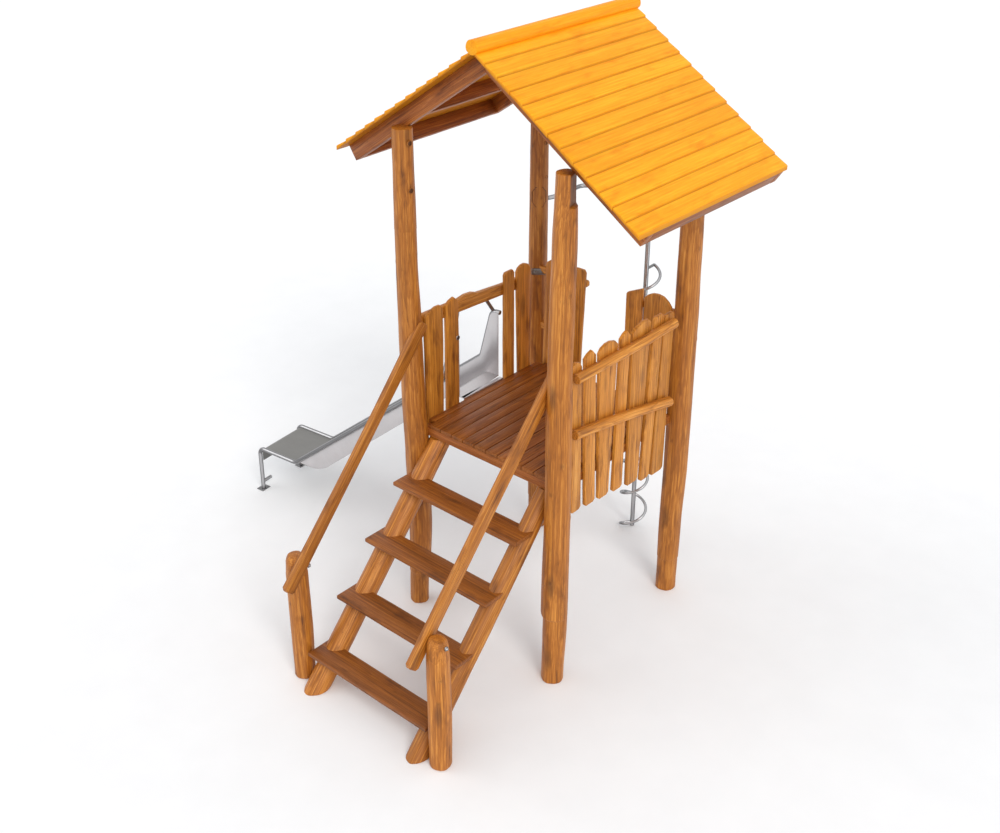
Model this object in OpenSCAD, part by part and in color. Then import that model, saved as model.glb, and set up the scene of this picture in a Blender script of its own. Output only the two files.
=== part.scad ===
// Wooden play tower: round log posts, plank deck, log stair with handrails, gable roof of
// lapped boards, picket panels, a steel slide and a steel spiral climber.
// Millimetres. X runs across the stair, Y from the stair to the climber, Z up.
// The origin is the centre of the foot of the front left post.

/* [Posts] */
// Distance between post centres, left to right
post_gap_x = 1236; // [1150:1:1400]
// Distance between post centres, front to back
post_gap_y = 1340; // [1250:1:1500]
// Height of the posts
post_h = 3552; // [3450:1:3560]
// Usual diameter of a post log
post_d = 155; // [140:1:175]
// Depth of a flat seat cut into a log
seat_cut = 14; // [8:1:20]

/* [Deck] */
// Height of the deck's upper face
deck_h = 1504; // [1300:1:1600]
// Thickness of the deck boards
deck_t = 28; // [20:1:40]
// Distance from the post line to the deck's front and back edges
deck_inset = 42; // [36:1:60]
// Width of the full length deck boards together
deck_w = 1010; // [960:1:1016]
// Least width of the short deck board between the posts at each side
deck_side_w = 54; // [40:1:56]
// Number of full length deck boards
deck_boards_n = 10; // [8:1:12]
// Gap between deck boards
deck_gap = 6; // [3:1:10]
// Reach of the deck edge from the middle of the tower
deck_edge = 568; // [560:1:575]
// Distance from the deck's back edge to the line where its front edge would mirror
deck_short = 28; // [0:1:40]
// Height of the beams under the deck
beam_h = 62; // [50:1:90]
// Width of the beams under the deck
beam_w = 66; // [50:1:80]

/* [Stair] */
// Number of treads below the deck
tread_n = 4; // [4:1:4]
// Length of a tread
tread_l = 1084; // [1000:1:1100]
// Depth of a tread, front to back
tread_w = 188; // [150:1:210]
// Thickness of a tread
tread_t = 32; // [25:1:40]
// Horizontal step from one tread to the next
stair_going = 281; // [260:1:290]
// Height of the lowest tread
first_tread = 248; // [220:1:300]
// Lap of the treads' front edges ahead of even steps from the deck's edge
tread_lap = 48; // [30:1:60]
// Diameter of a stringer log
stringer_d = 138; // [110:1:150]
// Distance of the left stringer from the middle of the stair
stringer_left_x = 464; // [400:1:470]
// Distance of the right stringer from the middle of the stair
stringer_right_x = 480; // [440:1:530]
// Height of the foot posts of the handrails
newel_h = 980; // [900:1:1050]
// Diameter of the foot posts of the handrails
newel_d = 140; // [120:1:150]
// Distance of a foot post from the middle of the stair
newel_x = 634; // [628:1:640]
// Distance of a foot post's middle behind the lowest tread's front edge
newel_set = 35; // [25:1:45]
// Depth of a handrail seen from the side
handrail_w = 92; // [70:1:110]
// Thickness of a handrail
handrail_t = 46; // [35:1:55]
// Hollow in the upper edge of the left handrail
handrail_hollow = 14; // [0:1:30]
// Reach of the handrail's lower end in front of the foot post's middle
handrail_reach = 135; // [110:1:150]
// Depth of the handrail's lower end below the top of the foot post
handrail_drop = 162; // [150:1:180]

/* [Roof] */
// Height of the boards' underside at the ridge
roof_h = 4118; // [4105:1:4160]
// Slope of the roof in degrees
roof_pitch = 34.2; // [30:0.1:38]
// Horizontal reach of the roof boards from the ridge
roof_run = 1186; // [1100:1:1300]
// Length of the roof boards
roof_l = 1522; // [1500:1:1700]
// Number of boards on each slope
roof_boards_n = 13; // [9:1:16]
// Thickness of a roof board
roof_board_t = 19; // [16:1:30]
// Depth of a rafter, square to the slope
rafter_h = 105; // [90:1:130]
// Thickness of a rafter
rafter_t = 60; // [45:1:70]
// Distance of a rafter's front face from the post line
rafter_set = 55; // [40:1:60]
// Distance of the rafter's end from the boards' lower edge, level
eave_reach = 6; // [0:1:40]
// Distance of the roof boards' middle behind the tower's middle
roof_set = 40; // [20:1:60]
// Thickness of the lengthwise roof beams
roof_beam_t = 45; // [35:1:60]
// Diameter of the ridge pole
ridge_d = 90; // [80:1:130]

/* [Panels] */
// Thickness of the pickets
picket_t = 25; // [20:1:32]
// Height of the fence above the deck
fence_h = 800; // [760:1:840]
// Diameter of the round fence rails
rail_d = 56; // [45:1:70]
// Distance of the fence's outer face outside the post line
fence_set = 18; // [10:1:24]
// Reach of the pickets below the deck beams
picket_drop = 20; // [10:1:30]
// Width of the slide opening between pickets
slide_gap = 456; // [440:1:462]
// Distance of the slide opening's middle in front of the tower's middle
slide_gap_set = 30; // [25:1:40]
// Width of the climber opening between pickets
climb_gap = 354; // [320:1:400]
// Distance of the climber opening's middle to the right of the tower's middle
climb_gap_set = 11; // [0:1:30]

/* [Slide] */
// Level distance from the deck edge to the slide's foot
slide_l = 2125; // [2000:1:2300]
// Distance between the two tube rails
slide_w = 460; // [440:1:480]
// Height of the run out above the ground
slide_end_h = 392; // [350:1:420]
// Length of the tube rails' level ends
slide_flat = 400; // [300:1:420]
// Length of the floor that is level before the tube rails are
slide_lead = 254; // [200:1:300]
// Slope of the chute in degrees
slide_pitch = 40; // [38:0.5:42]
// Height of the seat above the deck
sit_rise = 10; // [8:1:30]
// Radius of the bend between the chute and its run out
slide_bend = 350; // [200:10:450]
// Height of the folded sheet at the slide's foot
lip_h = 125; // [80:1:150]
// Turn of the slide in plan, in degrees
slide_turn = 6; // [0:0.5:7]
// Distance of the slide's middle in front of the tower's middle, at the deck
slide_set = 3; // [0:1:10]
// Level distance from the deck edge to the foot of the hand guards
guard_reach = 191; // [160:1:230]
// Level length of the hand guards' slope
guard_run = 97; // [80:1:120]
// Height of the foot of the hand guards above the seat
guard_foot = 110; // [90:1:130]
// Thickness of the steel sheet
sheet_t = 4; // [3:0.5:6]
// Diameter of the slide's tubes
slide_tube_d = 34; // [28:1:42]
// Height of the hand guards above the deck
guard_h = 502; // [450:1:540]
// Height of the hoop above the hand guards, along its lean
hoop_h = 172; // [140:1:180]
// Diameter of the hoop's tube
hoop_d = 26; // [20:1:30]

/* [Climber] */
// Distance of the climbing pole from the back post line
climb_reach = 478; // [420:1:560]
// Diameter of the climbing pole
climb_pole_d = 34; // [32:1:45]
// Height of the climbing pole
climb_h = 2740; // [2600:1:2900]
// Radius of the spiral
spiral_r = 100; // [90:1:120]
// Rise of one turn of the spiral
spiral_pitch = 286; // [240:1:288]
// Diameter of the spiral tube
spiral_d = 21; // [18:1:25]
// Height of the spiral's lower end
spiral_low = 32; // [20:1:80]
// Number of turns of the spiral
spiral_turns = 7.61; // [6:0.01:8]

/* [Hidden] */
$fn = 32;

// Middle of the tower seen from the origin
mid = [post_gap_x / 2, post_gap_y / 2, 0];
half_x = post_gap_x / 2;
half_y = post_gap_y / 2;
big = 6000;

// Levels under the deck
beam_top = deck_h - deck_t;
beam_low = beam_top - beam_h;
deck_front = -half_y + deck_inset;
deck_back = half_y - deck_inset - deck_short;
deck_reach = max(deck_edge, deck_w / 2 + deck_gap + deck_side_w);

// Stair: risers from the ground to the deck are equal
riser = (deck_h - first_tread) / tread_n;
stair_angle = atan(riser / stair_going);
tread_front = deck_front - tread_n * stair_going - tread_lap;
newel_y = tread_front + newel_set;

// Roof levels
rafter_run = roof_run - eave_reach;
rafter_front_y = -half_y + rafter_set;
rafter_back_y = half_y + rafter_set;

// Panels: faces of the pickets
left_face = -deck_reach;
right_face = half_x + fence_set;
back_face = deck_back;
picket_low = beam_low - picket_drop;
fence_top = deck_h + fence_h;

// Slide
slide_y = -slide_set;

module in_place() { translate(mid) children(); }

// Rings of points swept into a closed solid; each ring has the same number of points
module skin(rings) {
    n = len(rings[0]);
    m = len(rings);
    points = [for (ring = rings) for (p = ring) p];
    sides = [for (i = [0:m - 2]) for (j = [0:n - 1])
        let (a = i * n + j, b = i * n + (j + 1) % n, c = a + n, d = b + n)
        each [[a, c, d], [a, d, b]]];
    low = [[for (j = [0:n - 1]) j]];
    high = [[for (j = [n - 1:-1:0]) (m - 1) * n + j]];
    polyhedron(points, concat(low, sides, high), convexity = 6);
}

function blend(a, b, t) = a + (b - a) * (t * t * (3 - 2 * t));
// Value k of the stations [share of height, x, y, diameter factor] at a share s
function station(st, s, k, i = 0) =
    i >= len(st) - 2 || s <= st[i + 1][0]
    ? blend(st[i][k], st[i + 1][k], (s - st[i][0]) / (st[i + 1][0] - st[i][0]))
    : station(st, s, k, i + 1);
// Hand peeled logs are not quite round
function knobble(j, seed) = 1 + 0.022 * sin(j * 131 + seed * 71) + 0.012 * sin(j * 67 + seed * 37);

// Upright log with level rings that follow the stations
module log_upright(st, h, d, seed, sides = 14, steps = 10) {
    skin([for (i = [0:steps])
        let (s = i / steps, r = d / 2 * station(st, s, 3))
        [for (j = [0:sides - 1])
            let (a = 360 * j / sides, q = r * knobble(j, seed))
            [station(st, s, 1) + q * cos(a), station(st, s, 2) + q * sin(a), h * s]]]);
}

// Tube or log along a list of points; ref is a direction that the path never takes
module sweep(path, d, ref, sides = 12, seed = 0, taper = 0) {
    m = len(path);
    skin([for (i = [0:m - 1])
        let (t0 = path[min(i + 1, m - 1)] - path[max(i - 1, 0)],
             t = t0 / norm(t0),
             s0 = cross(t, ref), s = s0 / norm(s0), u = cross(s, t),
             r = d / 2 * (1 - taper * i / (m - 1)))
        [for (j = [0:sides - 1])
            let (a = 360 * j / sides, q = seed == 0 ? r : r * knobble(j, seed))
            path[i] + q * cos(a) * u + q * sin(a) * s]]);
}

// Points along a polyline in the XY plane whose corners are bent to a radius
function turn_of(p, i) = let (a = p[i] - p[i - 1], b = p[i + 1] - p[i])
    atan2(a.x * b.y - a.y * b.x, a * b);
function trim_of(p, i, r) = r * tan(abs(turn_of(p, i)) / 2);
function bent_line(p, radii, steps = 5) = [
    [p[0].x, p[0].y, 0],
    for (i = [1:len(p) - 2])
        let (r = is_list(radii) ? radii[i - 1] : radii,
             v = (p[i] - p[i - 1]) / norm(p[i] - p[i - 1]), w = turn_of(p, i), side = w > 0 ? 1 : -1,
             start = p[i] - v * trim_of(p, i, r), eye = start + side * r * [-v.y, v.x],
             from = start - eye)
        for (k = [0:steps]) let (a = w * k / steps)
            [eye.x + from.x * cos(a) - from.y * sin(a), eye.y + from.x * sin(a) + from.y * cos(a), 0],
    [p[len(p) - 1].x, p[len(p) - 1].y, 0]];
module bent_tube(p, d, r) {
    sweep(bent_line(p, r), d, [0, 0, 1]);
}
// Sheet metal strip bent along the same kind of line
module bent_strip(p, t, r, w) {
    mid_line = bent_line(p, r, 8);
    m = len(mid_line);
    flat_line = [for (q = mid_line) [q.x, q.y]];
    across = [for (i = [0:m - 1])
        let (v = flat_line[min(i + 1, m - 1)] - flat_line[max(i - 1, 0)]) [-v.y, v.x] / norm(v) * t / 2];
    translate([0, 0, -w / 2]) linear_extrude(w)
        polygon([for (i = [0:m - 1]) flat_line[i] + across[i],
                 for (i = [m - 1:-1:0]) flat_line[i] - across[i]]);
}

// Stations of the logs: share of height, x, y, diameter factor
left_front_log = [[0, -14, 16, 0.93], [0.2, 30, 8, 1.06], [0.36, 26, 4, 1.11], [0.48, 8, 0, 1.05],
                  [0.62, -6, 4, 1.02], [0.76, -16, 3, 0.94], [1, -39, 25, 0.86]];
right_front_log = [[0, 9, -25, 0.92], [0.17, 18, 0, 1.08], [0.42, 29, -4, 1.06], [0.56, 20, 0, 1.05],
                   [0.66, 18, 0, 0.98], [0.78, 22, 2, 0.98], [0.88, 22, 10, 0.95], [1, 13, 25, 0.8]];
right_back_log = [[0, 2, 0, 0.97], [0.16, 3, 0, 1.02], [0.3, 11, 4, 1.08], [0.42, 12, 0, 1.09],
                  [0.52, 12, 0, 1.07], [0.62, 14, 0, 1.04], [0.72, 9, 0, 1], [1, -14, 25, 0.9]];
left_back_log = [[0, 0, 0, 0.95], [0.25, -6, 6, 1.04], [0.45, -20, 0, 1.02], [0.65, -31, 0, 0.88],
                 [0.8, -35, 4, 0.85], [1, -52, 25, 0.8]];
newel_log = [[0, 0, 0, 0.98], [0.4, 3, 0, 1.03], [0.86, 0, 0, 1], [0.95, 0, 0, 0.93], [1, 0, 0, 0.74]];

// Everything that is let into the logs
module rafter_housing(y) {
    for (side = [0, 1]) mirror([side, 0, 0])
        translate([0, y, 0]) rotate([90, 0, 180]) linear_extrude(big)
            polygon([[0, soffit(0)], [-rafter_run, soffit(rafter_run)], [-rafter_run, big], [0, big]]);
}
function soffit(x) = roof_h - rafter_h / cos(roof_pitch) - x * tan(roof_pitch);

// Handrail board whose upper edge may dip between its ends
module handrail_bar(x, hollow = 0) {
    past_post = 22;
    low = [newel_y - handrail_reach, newel_h - handrail_drop];
    rail_l = (past_post - half_y - low.x) / cos(stair_angle);
    half_w = handrail_w / 2;
    cut_w = half_w * 0.6;
    rounds = 8;
    translate([x - handrail_t / 2, 0, 0]) rotate([90, 0, 90]) linear_extrude(handrail_t)
        translate(low) rotate(stair_angle)
            polygon([[-cut_w, -half_w], [rail_l + cut_w, -half_w], [rail_l + half_w, -half_w + 20],
                     [rail_l + half_w, half_w - 20], [rail_l + cut_w, half_w],
                     for (i = [rounds:-1:0]) [rail_l * i / rounds, half_w - hollow * sin(180 * i / rounds)],
                     [-cut_w, half_w], [-half_w, half_w - 20], [-half_w, -half_w + 20]]);
}
handrail_x = newel_x - newel_d / 2 + seat_cut - handrail_t / 2;

module deck_beams() {
    cross_beam(deck_front);
    cross_beam(deck_back - beam_w);
    side_beam(-deck_reach);
    side_beam(right_face - picket_t - beam_w);
}
module cross_beam(y) {
    translate([-deck_reach, y, beam_low]) cube([deck_reach + right_face - picket_t, beam_w, beam_h]);
}
module side_beam(x) {
    translate([x, deck_front + beam_w, beam_low])
        cube([beam_w, deck_back - deck_front - 2 * beam_w, beam_h]);
}

module post(st, seed, x, y, rafter_y) {
    difference() {
        translate([x, y, 0]) log_upright(st, post_h, post_d, seed);
        rafter_housing(rafter_y);
        deck_beams();
        for (side = [-1, 1]) handrail_bar(side * handrail_x);
        slide_rail_bar();
        for (side = [-1, 1]) {
            back_rail_bar(side);
            roof_beams(side);
        }
        bracket_bars();
        frame_seats();
    }
}
module post_front_left() color("peru") in_place() post(left_front_log, 1, -half_x, -half_y, rafter_front_y);
module post_front_right() color("peru") in_place() post(right_front_log, 2, half_x, -half_y, rafter_front_y);
module post_back_left() color("peru") in_place() post(left_back_log, 3, -half_x, half_y, rafter_back_y);
module post_back_right() color("peru") in_place() post(right_back_log, 4, half_x, half_y, rafter_back_y);

module deck_boards() color("saddlebrown") in_place() {
    pitch = (deck_w + deck_gap) / deck_boards_n;
    for (i = [0:deck_boards_n - 1])
        translate([-deck_w / 2 + i * pitch, deck_front, beam_top])
            cube([pitch - deck_gap, deck_back - deck_front, deck_t]);
    strip = post_d / 2 + 22;
    for (side = [0, 1]) mirror([side, 0, 0])
        translate([deck_w / 2 + deck_gap, -half_y + strip, beam_top])
            cube([deck_reach - deck_w / 2 - deck_gap, post_gap_y - 2 * strip, deck_t]);
}
module deck_beam_front() color("peru") in_place() cross_beam(deck_front);
module deck_beam_back() color("peru") in_place() cross_beam(deck_back - beam_w);
module deck_beam_left() color("peru") in_place() side_beam(-deck_reach);
module deck_beam_right() color("peru") in_place() side_beam(right_face - picket_t - beam_w);
module deck_joist() color("peru") in_place() side_beam(-beam_w / 2);

module tread_board(i) {
    translate([-tread_l / 2, tread_front + i * stair_going, first_tread + i * riser - tread_t])
        cube([tread_l, tread_w, tread_t]);
}
module stringer(x, size, seed) {
    foot = tread_front - 5;
    long = beam_low / sin(stair_angle) + 2 * stringer_d;
    difference() {
        intersection() {
            translate([x, foot, 0]) rotate([stair_angle - 90, 0, 0]) translate([0, 0, -stringer_d])
                log_upright([[0, 0, 0, 1.02], [0.5, 4, 0, 1], [1, 0, 0, 0.94]], long, size, seed);
            translate([-big / 2, -big / 2, 0]) cube([big, big, beam_low]);
        }
        for (i = [0:tread_n - 1]) tread_board(i);
        children();
    }
}
module stringer_left() color("peru") in_place() stringer(-stringer_left_x, 1.12 * stringer_d, 5)
    translate([-half_x, -half_y, 0]) log_upright(left_front_log, post_h, post_d, 1);
module stringer_right() color("peru") in_place() stringer(stringer_right_x, stringer_d, 6) {
    newel_body(1, 8);
    translate([half_x, -half_y, 0]) log_upright(right_front_log, post_h, post_d, 2);
}
module tread_1() color("saddlebrown") in_place() tread_board(0);
module tread_2() color("saddlebrown") in_place() tread_board(1);
module tread_3() color("saddlebrown") in_place() tread_board(2);
module tread_4() color("saddlebrown") in_place() tread_board(3);

module newel_body(side, seed) {
    translate([side * newel_x, newel_y, 0]) log_upright(newel_log, newel_h, newel_d, seed, steps = 12);
}
module newel(side, seed) {
    difference() {
        newel_body(side, seed);
        handrail_bar(side * handrail_x);
    }
}
module newel_left() color("peru") in_place() newel(-1, 7);
module newel_right() color("peru") in_place() newel(1, 8);
module handrail_left() color("sienna") in_place() handrail_bar(-handrail_x, handrail_hollow);
module handrail_right() color("sienna") in_place() handrail_bar(handrail_x);

// Saw tooth section of one slope: each board laps over the one below it
module slope_section() {
    course = roof_run / roof_boards_n;
    lift = roof_h;
    thin = 0.75 * roof_board_t / cos(roof_pitch);
    thick = 1.3 * roof_board_t / cos(roof_pitch);
    fall = tan(roof_pitch);
    top = [for (i = [0:roof_boards_n - 1]) let (x0 = roof_run - i * course, x1 = x0 - course)
        each [[x0, lift - x0 * fall + thick], [x1, lift - x1 * fall + thin]]];
    polygon(concat([[0, lift], [roof_run, lift - roof_run * fall]], top));
}
module roof_slope(side) {
    mirror([side > 0 ? 0 : 1, 0, 0]) translate([0, roof_set + roof_l / 2, 0])
        rotate([90, 0, 0]) linear_extrude(roof_l) slope_section();
}
module roof_slope_left() color("orange") in_place() roof_slope(-1);
module roof_slope_right() color("orange") in_place() roof_slope(1);
module ridge_pole() color("gold") in_place() difference() {
    translate([0, roof_set + roof_l / 2 + 8, roof_h + 0.4 * ridge_d]) rotate([90, 0, 0])
        cylinder(d = ridge_d, h = roof_l + 16);
    for (side = [0, 1]) mirror([side, 0, 0]) translate([0, big / 2, 0]) rotate([90, 0, 0])
        linear_extrude(big) ridge_fill();
}
module ridge_fill() {
    thin = 0.75 * roof_board_t / cos(roof_pitch);
    thick = 1.3 * roof_board_t / cos(roof_pitch);
    course = roof_run / roof_boards_n;
    low = roof_h - course * tan(roof_pitch);
    polygon([[0, roof_h + thin], [course, low + thick], [course, low - ridge_d], [0, low - ridge_d]]);
}

module rafter(side, y) {
    drop = rafter_h * cos(roof_pitch);
    back = rafter_h * sin(roof_pitch);
    zt = roof_h - rafter_run * tan(roof_pitch);
    mirror([side > 0 ? 0 : 1, 0, 0]) translate([0, y + rafter_t, 0]) rotate([90, 0, 0])
        linear_extrude(rafter_t)
        polygon([[0, soffit(0)], [0, roof_h], [rafter_run, zt], [rafter_run - back, zt - drop]]);
}
module rafter_front_left() color("peru") in_place() rafter(-1, rafter_front_y);
module rafter_front_right() color("peru") in_place() rafter(1, rafter_front_y);
module rafter_back_left() color("peru") in_place() rafter(-1, rafter_back_y);
module rafter_back_right() color("peru") in_place() rafter(1, rafter_back_y);

// Lengthwise beams between the rafters, square to the slope, at a level distance from the ridge
module slope_beam(x, h) {
    y0 = rafter_front_y + rafter_t;
    translate([x, y0, roof_h - x * tan(roof_pitch)]) rotate([0, roof_pitch, 0])
        translate([-roof_beam_t, 0, -h]) cube([roof_beam_t, rafter_back_y - y0, h]);
}
module roof_beams(side) {
    mirror([side > 0 ? 0 : 1, 0, 0]) {
        slope_beam(rafter_run, rafter_h);
        slope_beam(half_x + roof_beam_t / 2, rafter_h - 12);
    }
}
module roof_beams_left() color("peru") in_place() roof_beams(-1);
module roof_beams_right() color("peru") in_place() roof_beams(1);
module ridge_beam() color("peru") in_place() {
    y0 = rafter_front_y + rafter_t;
    w = roof_beam_t / 2;
    shoulder = roof_h - w * tan(roof_pitch);
    translate([0, rafter_back_y, 0]) rotate([90, 0, 0]) linear_extrude(rafter_back_y - y0)
        polygon([[-w, soffit(0)], [w, soffit(0)], [w, shoulder], [0, roof_h], [-w, shoulder]]);
}

// Board standing up along Y: feet [y, y], heads [y, y], levels [low, high] and a crown, a list of
// [share of the width, drop below the top] from the near edge to the far one
module board(feet, heads, levels, crown) {
    across = heads[1] - heads[0];
    rotate([90, 0, 90]) translate([0, 0, -picket_t]) linear_extrude(picket_t)
        polygon([[feet[0], levels[0] + 12], [feet[0] + 14, levels[0]], [feet[1] - 20, levels[0]],
                 [feet[1], levels[0] + 16],
                 for (i = [len(crown) - 1:-1:0]) [heads[0] + across * crown[i][0], levels[1] - crown[i][1]]]);
}
pointed = [[0, 38], [0.32, 12], [0.66, 0], [1, 40]];
rounded = [[0, 46], [0.12, 18], [0.35, 2], [0.6, 0], [0.85, 14], [1, 44]];
slanted = [[0, 46], [0.2, 22], [0.6, 0], [0.85, 2], [1, 30]];
domed = [[0, 52], [0.12, 26], [0.3, 6], [0.5, 0], [0.7, 8], [0.88, 34], [1, 66]];
raked = [[0, 70], [0.06, 58], [0.94, 2], [1, 8]];
flat = [[0, 20], [0.12, 2], [0.3, 0], [0.85, 0], [1, 22]];

// Slide side: two pickets on each side of the opening, in the panel's own line
module slide_side_pickets() color("peru") in_place() translate([left_face, 0, 0]) {
    near = -slide_gap_set - slide_gap / 2;
    far = -slide_gap_set + slide_gap / 2;
    slit = 28;
    slim = 121;
    wide = 172;
    near_wide = near - slim - slit - wide;
    far_wide = far + slim + 9;
    board([near_wide, near_wide + wide - 14], [near_wide, near_wide + wide],
        [picket_low, fence_top + 4], slanted);
    board([near - slim - 4, near - 4], [near - slim, near], [picket_low, fence_top + 15], pointed);
    board([far + 4, far + slim + 4], [far, far + slim], [picket_low, fence_top + 20], flat);
    board([far_wide + 40, far_wide + wide], [far_wide, far_wide + wide - 10],
        [picket_low, fence_top + 26], rounded);
}
// Rail behind them: a board with one waved edge that falls towards the back
module slide_rail_bar() {
    y0 = -half_y + 20;
    y1 = half_y - 50;
    z0 = fence_top - 106;
    fall = 70;
    translate([left_face - picket_t, 0, 0]) rotate([90, 0, 90]) translate([0, 0, -40]) linear_extrude(40)
        polygon([[y0, z0], [y1, z0 - fall], [y1, z0 - fall + 84], [230, z0 + 31], [10, z0 + 50],
                 [-30, z0 + 54], [-80, z0 + 73], [-150, z0 + 79], [-224, z0 + 68], [y0, z0 + 82]]);
}
module slide_side_rail() color("peru") in_place() slide_rail_bar();

// Side fence: pickets that fan out upwards, rows of [head, head, foot, foot along Y,
// foot below the deck beams, head above the fence's height, crown]
fence_rows = [[-556, -452, -520, -420, -186, 8, rounded], [-424, -314, -374, -270, -200, 36, pointed],
              [-280, -88, -232, -124, -216, 28, rounded], [-60, 40, -76, 27, -232, 38, pointed],
              [64, 262, 80, 205, -262, 41, slanted], [300, 407, 238, 340, -298, 22, flat],
              [414, 524, 364, 502, -312, -4, flat]];
module fence_pickets() color("peru") in_place() translate([right_face, 0, 0])
    for (row = fence_rows)
        board([row[2], row[3]], [row[0], row[1]], [beam_low + row[4], fence_top + row[5]], row[6]);
// Round rails outside the pickets, flattened where they meet them
module fence_rail(z0, z1, arch, seed) {
    steps = 8;
    flat_cut = 4;
    y0 = -half_y + 119;
    y1 = half_y - 185;
    difference() {
        sweep([for (i = [0:steps]) let (t = i / steps)
            [right_face + rail_d / 2 - flat_cut, y0 + (y1 - y0) * t, z0 + (z1 - z0) * t + arch * sin(180 * t)]],
            rail_d, [1, 0, 0], sides = 12, seed = seed);
        translate([-big + right_face, -big / 2, 0]) cube([big, big, big]);
    }
}
fence_upper_z = fence_top - 74;
fence_lower_z = deck_h + 340;
fence_fall = 192;
module fence_rail_upper() color("peru") in_place() fence_rail(fence_upper_z, fence_upper_z + 8, -6, 11);
module fence_rail_lower() color("peru") in_place()
    fence_rail(fence_lower_z, fence_lower_z - fence_fall, 8, 12);

// Back panels on each side of the climber's opening, boards standing along X. Rows of
// [head, head, foot, foot away from the opening's edge, head above the fence's height, crown]
back_left_rows = [[-105, 0, -138, -31, 26, rounded], [-241, -121, -262, -152, 40, pointed],
                  [-372, -257, -378, -272, 20, rounded]];
back_right_rows = [[0, 132, 4, 130, 33, raked], [148, 362, 148, 360, 28, domed]];
climb_left = climb_gap_set - climb_gap / 2;
climb_right = climb_gap_set + climb_gap / 2;
back_y = back_face + picket_t;
module back_boards(x, rows) {
    translate([0, back_face, 0]) mirror([-1, 1, 0]) translate([picket_t, x, 0])
        for (row = rows)
            board([row[2], row[3]], [row[0], row[1]], [picket_low, fence_top + row[4]], row[5]);
}
module back_pickets_left() color("peru") in_place() back_boards(climb_left, back_left_rows);
module back_pickets_right() color("peru") in_place() back_boards(climb_right, back_right_rows);
module back_rail_bar(side) {
    outer = half_x - 10;
    rail_h = 50;
    rail_t = 34;
    short = side < 0 ? 44 : 0;
    reach = side < 0 ? -climb_left : climb_right;
    mirror([side < 0 ? 1 : 0, 0, 0]) {
        translate([reach, back_y, fence_top - 112]) cube([outer - reach, rail_t, rail_h]);
        translate([reach + short, back_y, deck_h + 250]) cube([outer - reach - short, rail_t, rail_h]);
    }
}
module back_rails_left() color("peru") in_place() back_rail_bar(-1);
module back_rails_right() color("peru") in_place() back_rail_bar(1);

// Two steel straps hold the fence to the back post
module bracket_bars() {
    start = 440;
    for (z = [fence_top - 140, deck_h + 70])
        translate([right_face - picket_t - 5, start, z]) cube([5, half_y - 78 - start, 30]);
}
module panel_brackets() color("silver") in_place() bracket_bars();

// The slide in its own plan: X away from the deck edge, Y across, Z up
module slide_place() {
    difference() {
        translate([left_face, slide_y, 0]) rotate([0, 0, 180 + slide_turn]) children();
        translate([left_face - picket_t, -big / 2, 0]) cube([big, big, big]);
    }
}
slide_inner = slide_w - slide_tube_d;
// Floor line from the deck to the folded lip: level, sloping, level, then down
seat_z = deck_h + sit_rise;
rail_x = slide_l - slide_flat;
flat_x = rail_x - slide_lead;
sit_l = flat_x - (seat_z - slide_end_h) / tan(slide_pitch);
lip_x = slide_l - 12;
floor_bends = [50, slide_bend, 50];
floor_line = [[-60, seat_z], [sit_l, seat_z], [flat_x, slide_end_h],
              [lip_x, slide_end_h], [lip_x, slide_end_h - lip_h]];
guard_low = seat_z + guard_foot;
guard_top = deck_h + guard_h;
plate_t = 6;
rail_line = [[-60, guard_top], [guard_reach - guard_run, guard_top], [guard_reach, guard_low],
             [rail_x, slide_end_h], [slide_l, slide_end_h], [slide_l, plate_t]];
rail_bends = [55, 60, 90, 55];
module upright_plane() { rotate([90, 0, 0]) children(); }

// Side wall between the floor line and the tube rail, up to where the two meet
module slide_wall() {
    low = [for (q = bent_line(floor_line, floor_bends, 8)) if (q.x < rail_x - 20) [q.x, q.y]];
    high = [for (q = bent_line(rail_line, rail_bends)) if (q.x < rail_x + 60) [q.x, q.y]];
    polygon(concat(low, [for (i = [len(high) - 1:-1:0]) high[i]]));
}
// Level sheet between the pickets with an edge folded down over the deck's side
module slide_apron() {
    clear = 3;
    fold_h = 40;
    lap = 30;
    near = slide_y - slide_inner / 2;
    far = min(slide_y + slide_inner / 2, -slide_gap_set + slide_gap / 2 - clear);
    translate([left_face - lap, near, seat_z - sheet_t / 2]) cube([lap, far - near, sheet_t]);
    translate([left_face - sheet_t, near, seat_z - fold_h]) cube([sheet_t, far - near, fold_h]);
}
module slide_chute() color("silver") in_place() {
    slide_place() {
        upright_plane() bent_strip(floor_line, sheet_t, floor_bends, slide_inner);
        for (side = [-1, 1]) translate([0, side * (slide_inner / 2 - sheet_t / 2) + sheet_t / 2, 0])
            upright_plane() linear_extrude(sheet_t) slide_wall();
    }
    slide_apron();
}
module slide_tube(side) {
    translate([0, side * slide_w / 2, 0]) upright_plane()
        sweep(bent_line(rail_line, rail_bends), slide_tube_d, [0, 0, 1]);
}
module slide_rail(side) {
    plate_l = 70;
    plate_w = 90;
    stub_l = 95;
    stub_z = 66;
    slide_place() {
        slide_tube(side);
        translate([slide_l - plate_l / 2, side * slide_w / 2 - plate_w / 2, 0]) cube([plate_l, plate_w, plate_t]);
        translate([slide_l, side * slide_w / 2, stub_z]) rotate([90 * side, 0, 0])
            cylinder(d = slide_tube_d - 6, h = stub_l);
    }
}
module slide_rail_near() color("silver") in_place() slide_rail(1);
module slide_rail_far() color("silver") in_place() slide_rail(-1);
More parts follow.
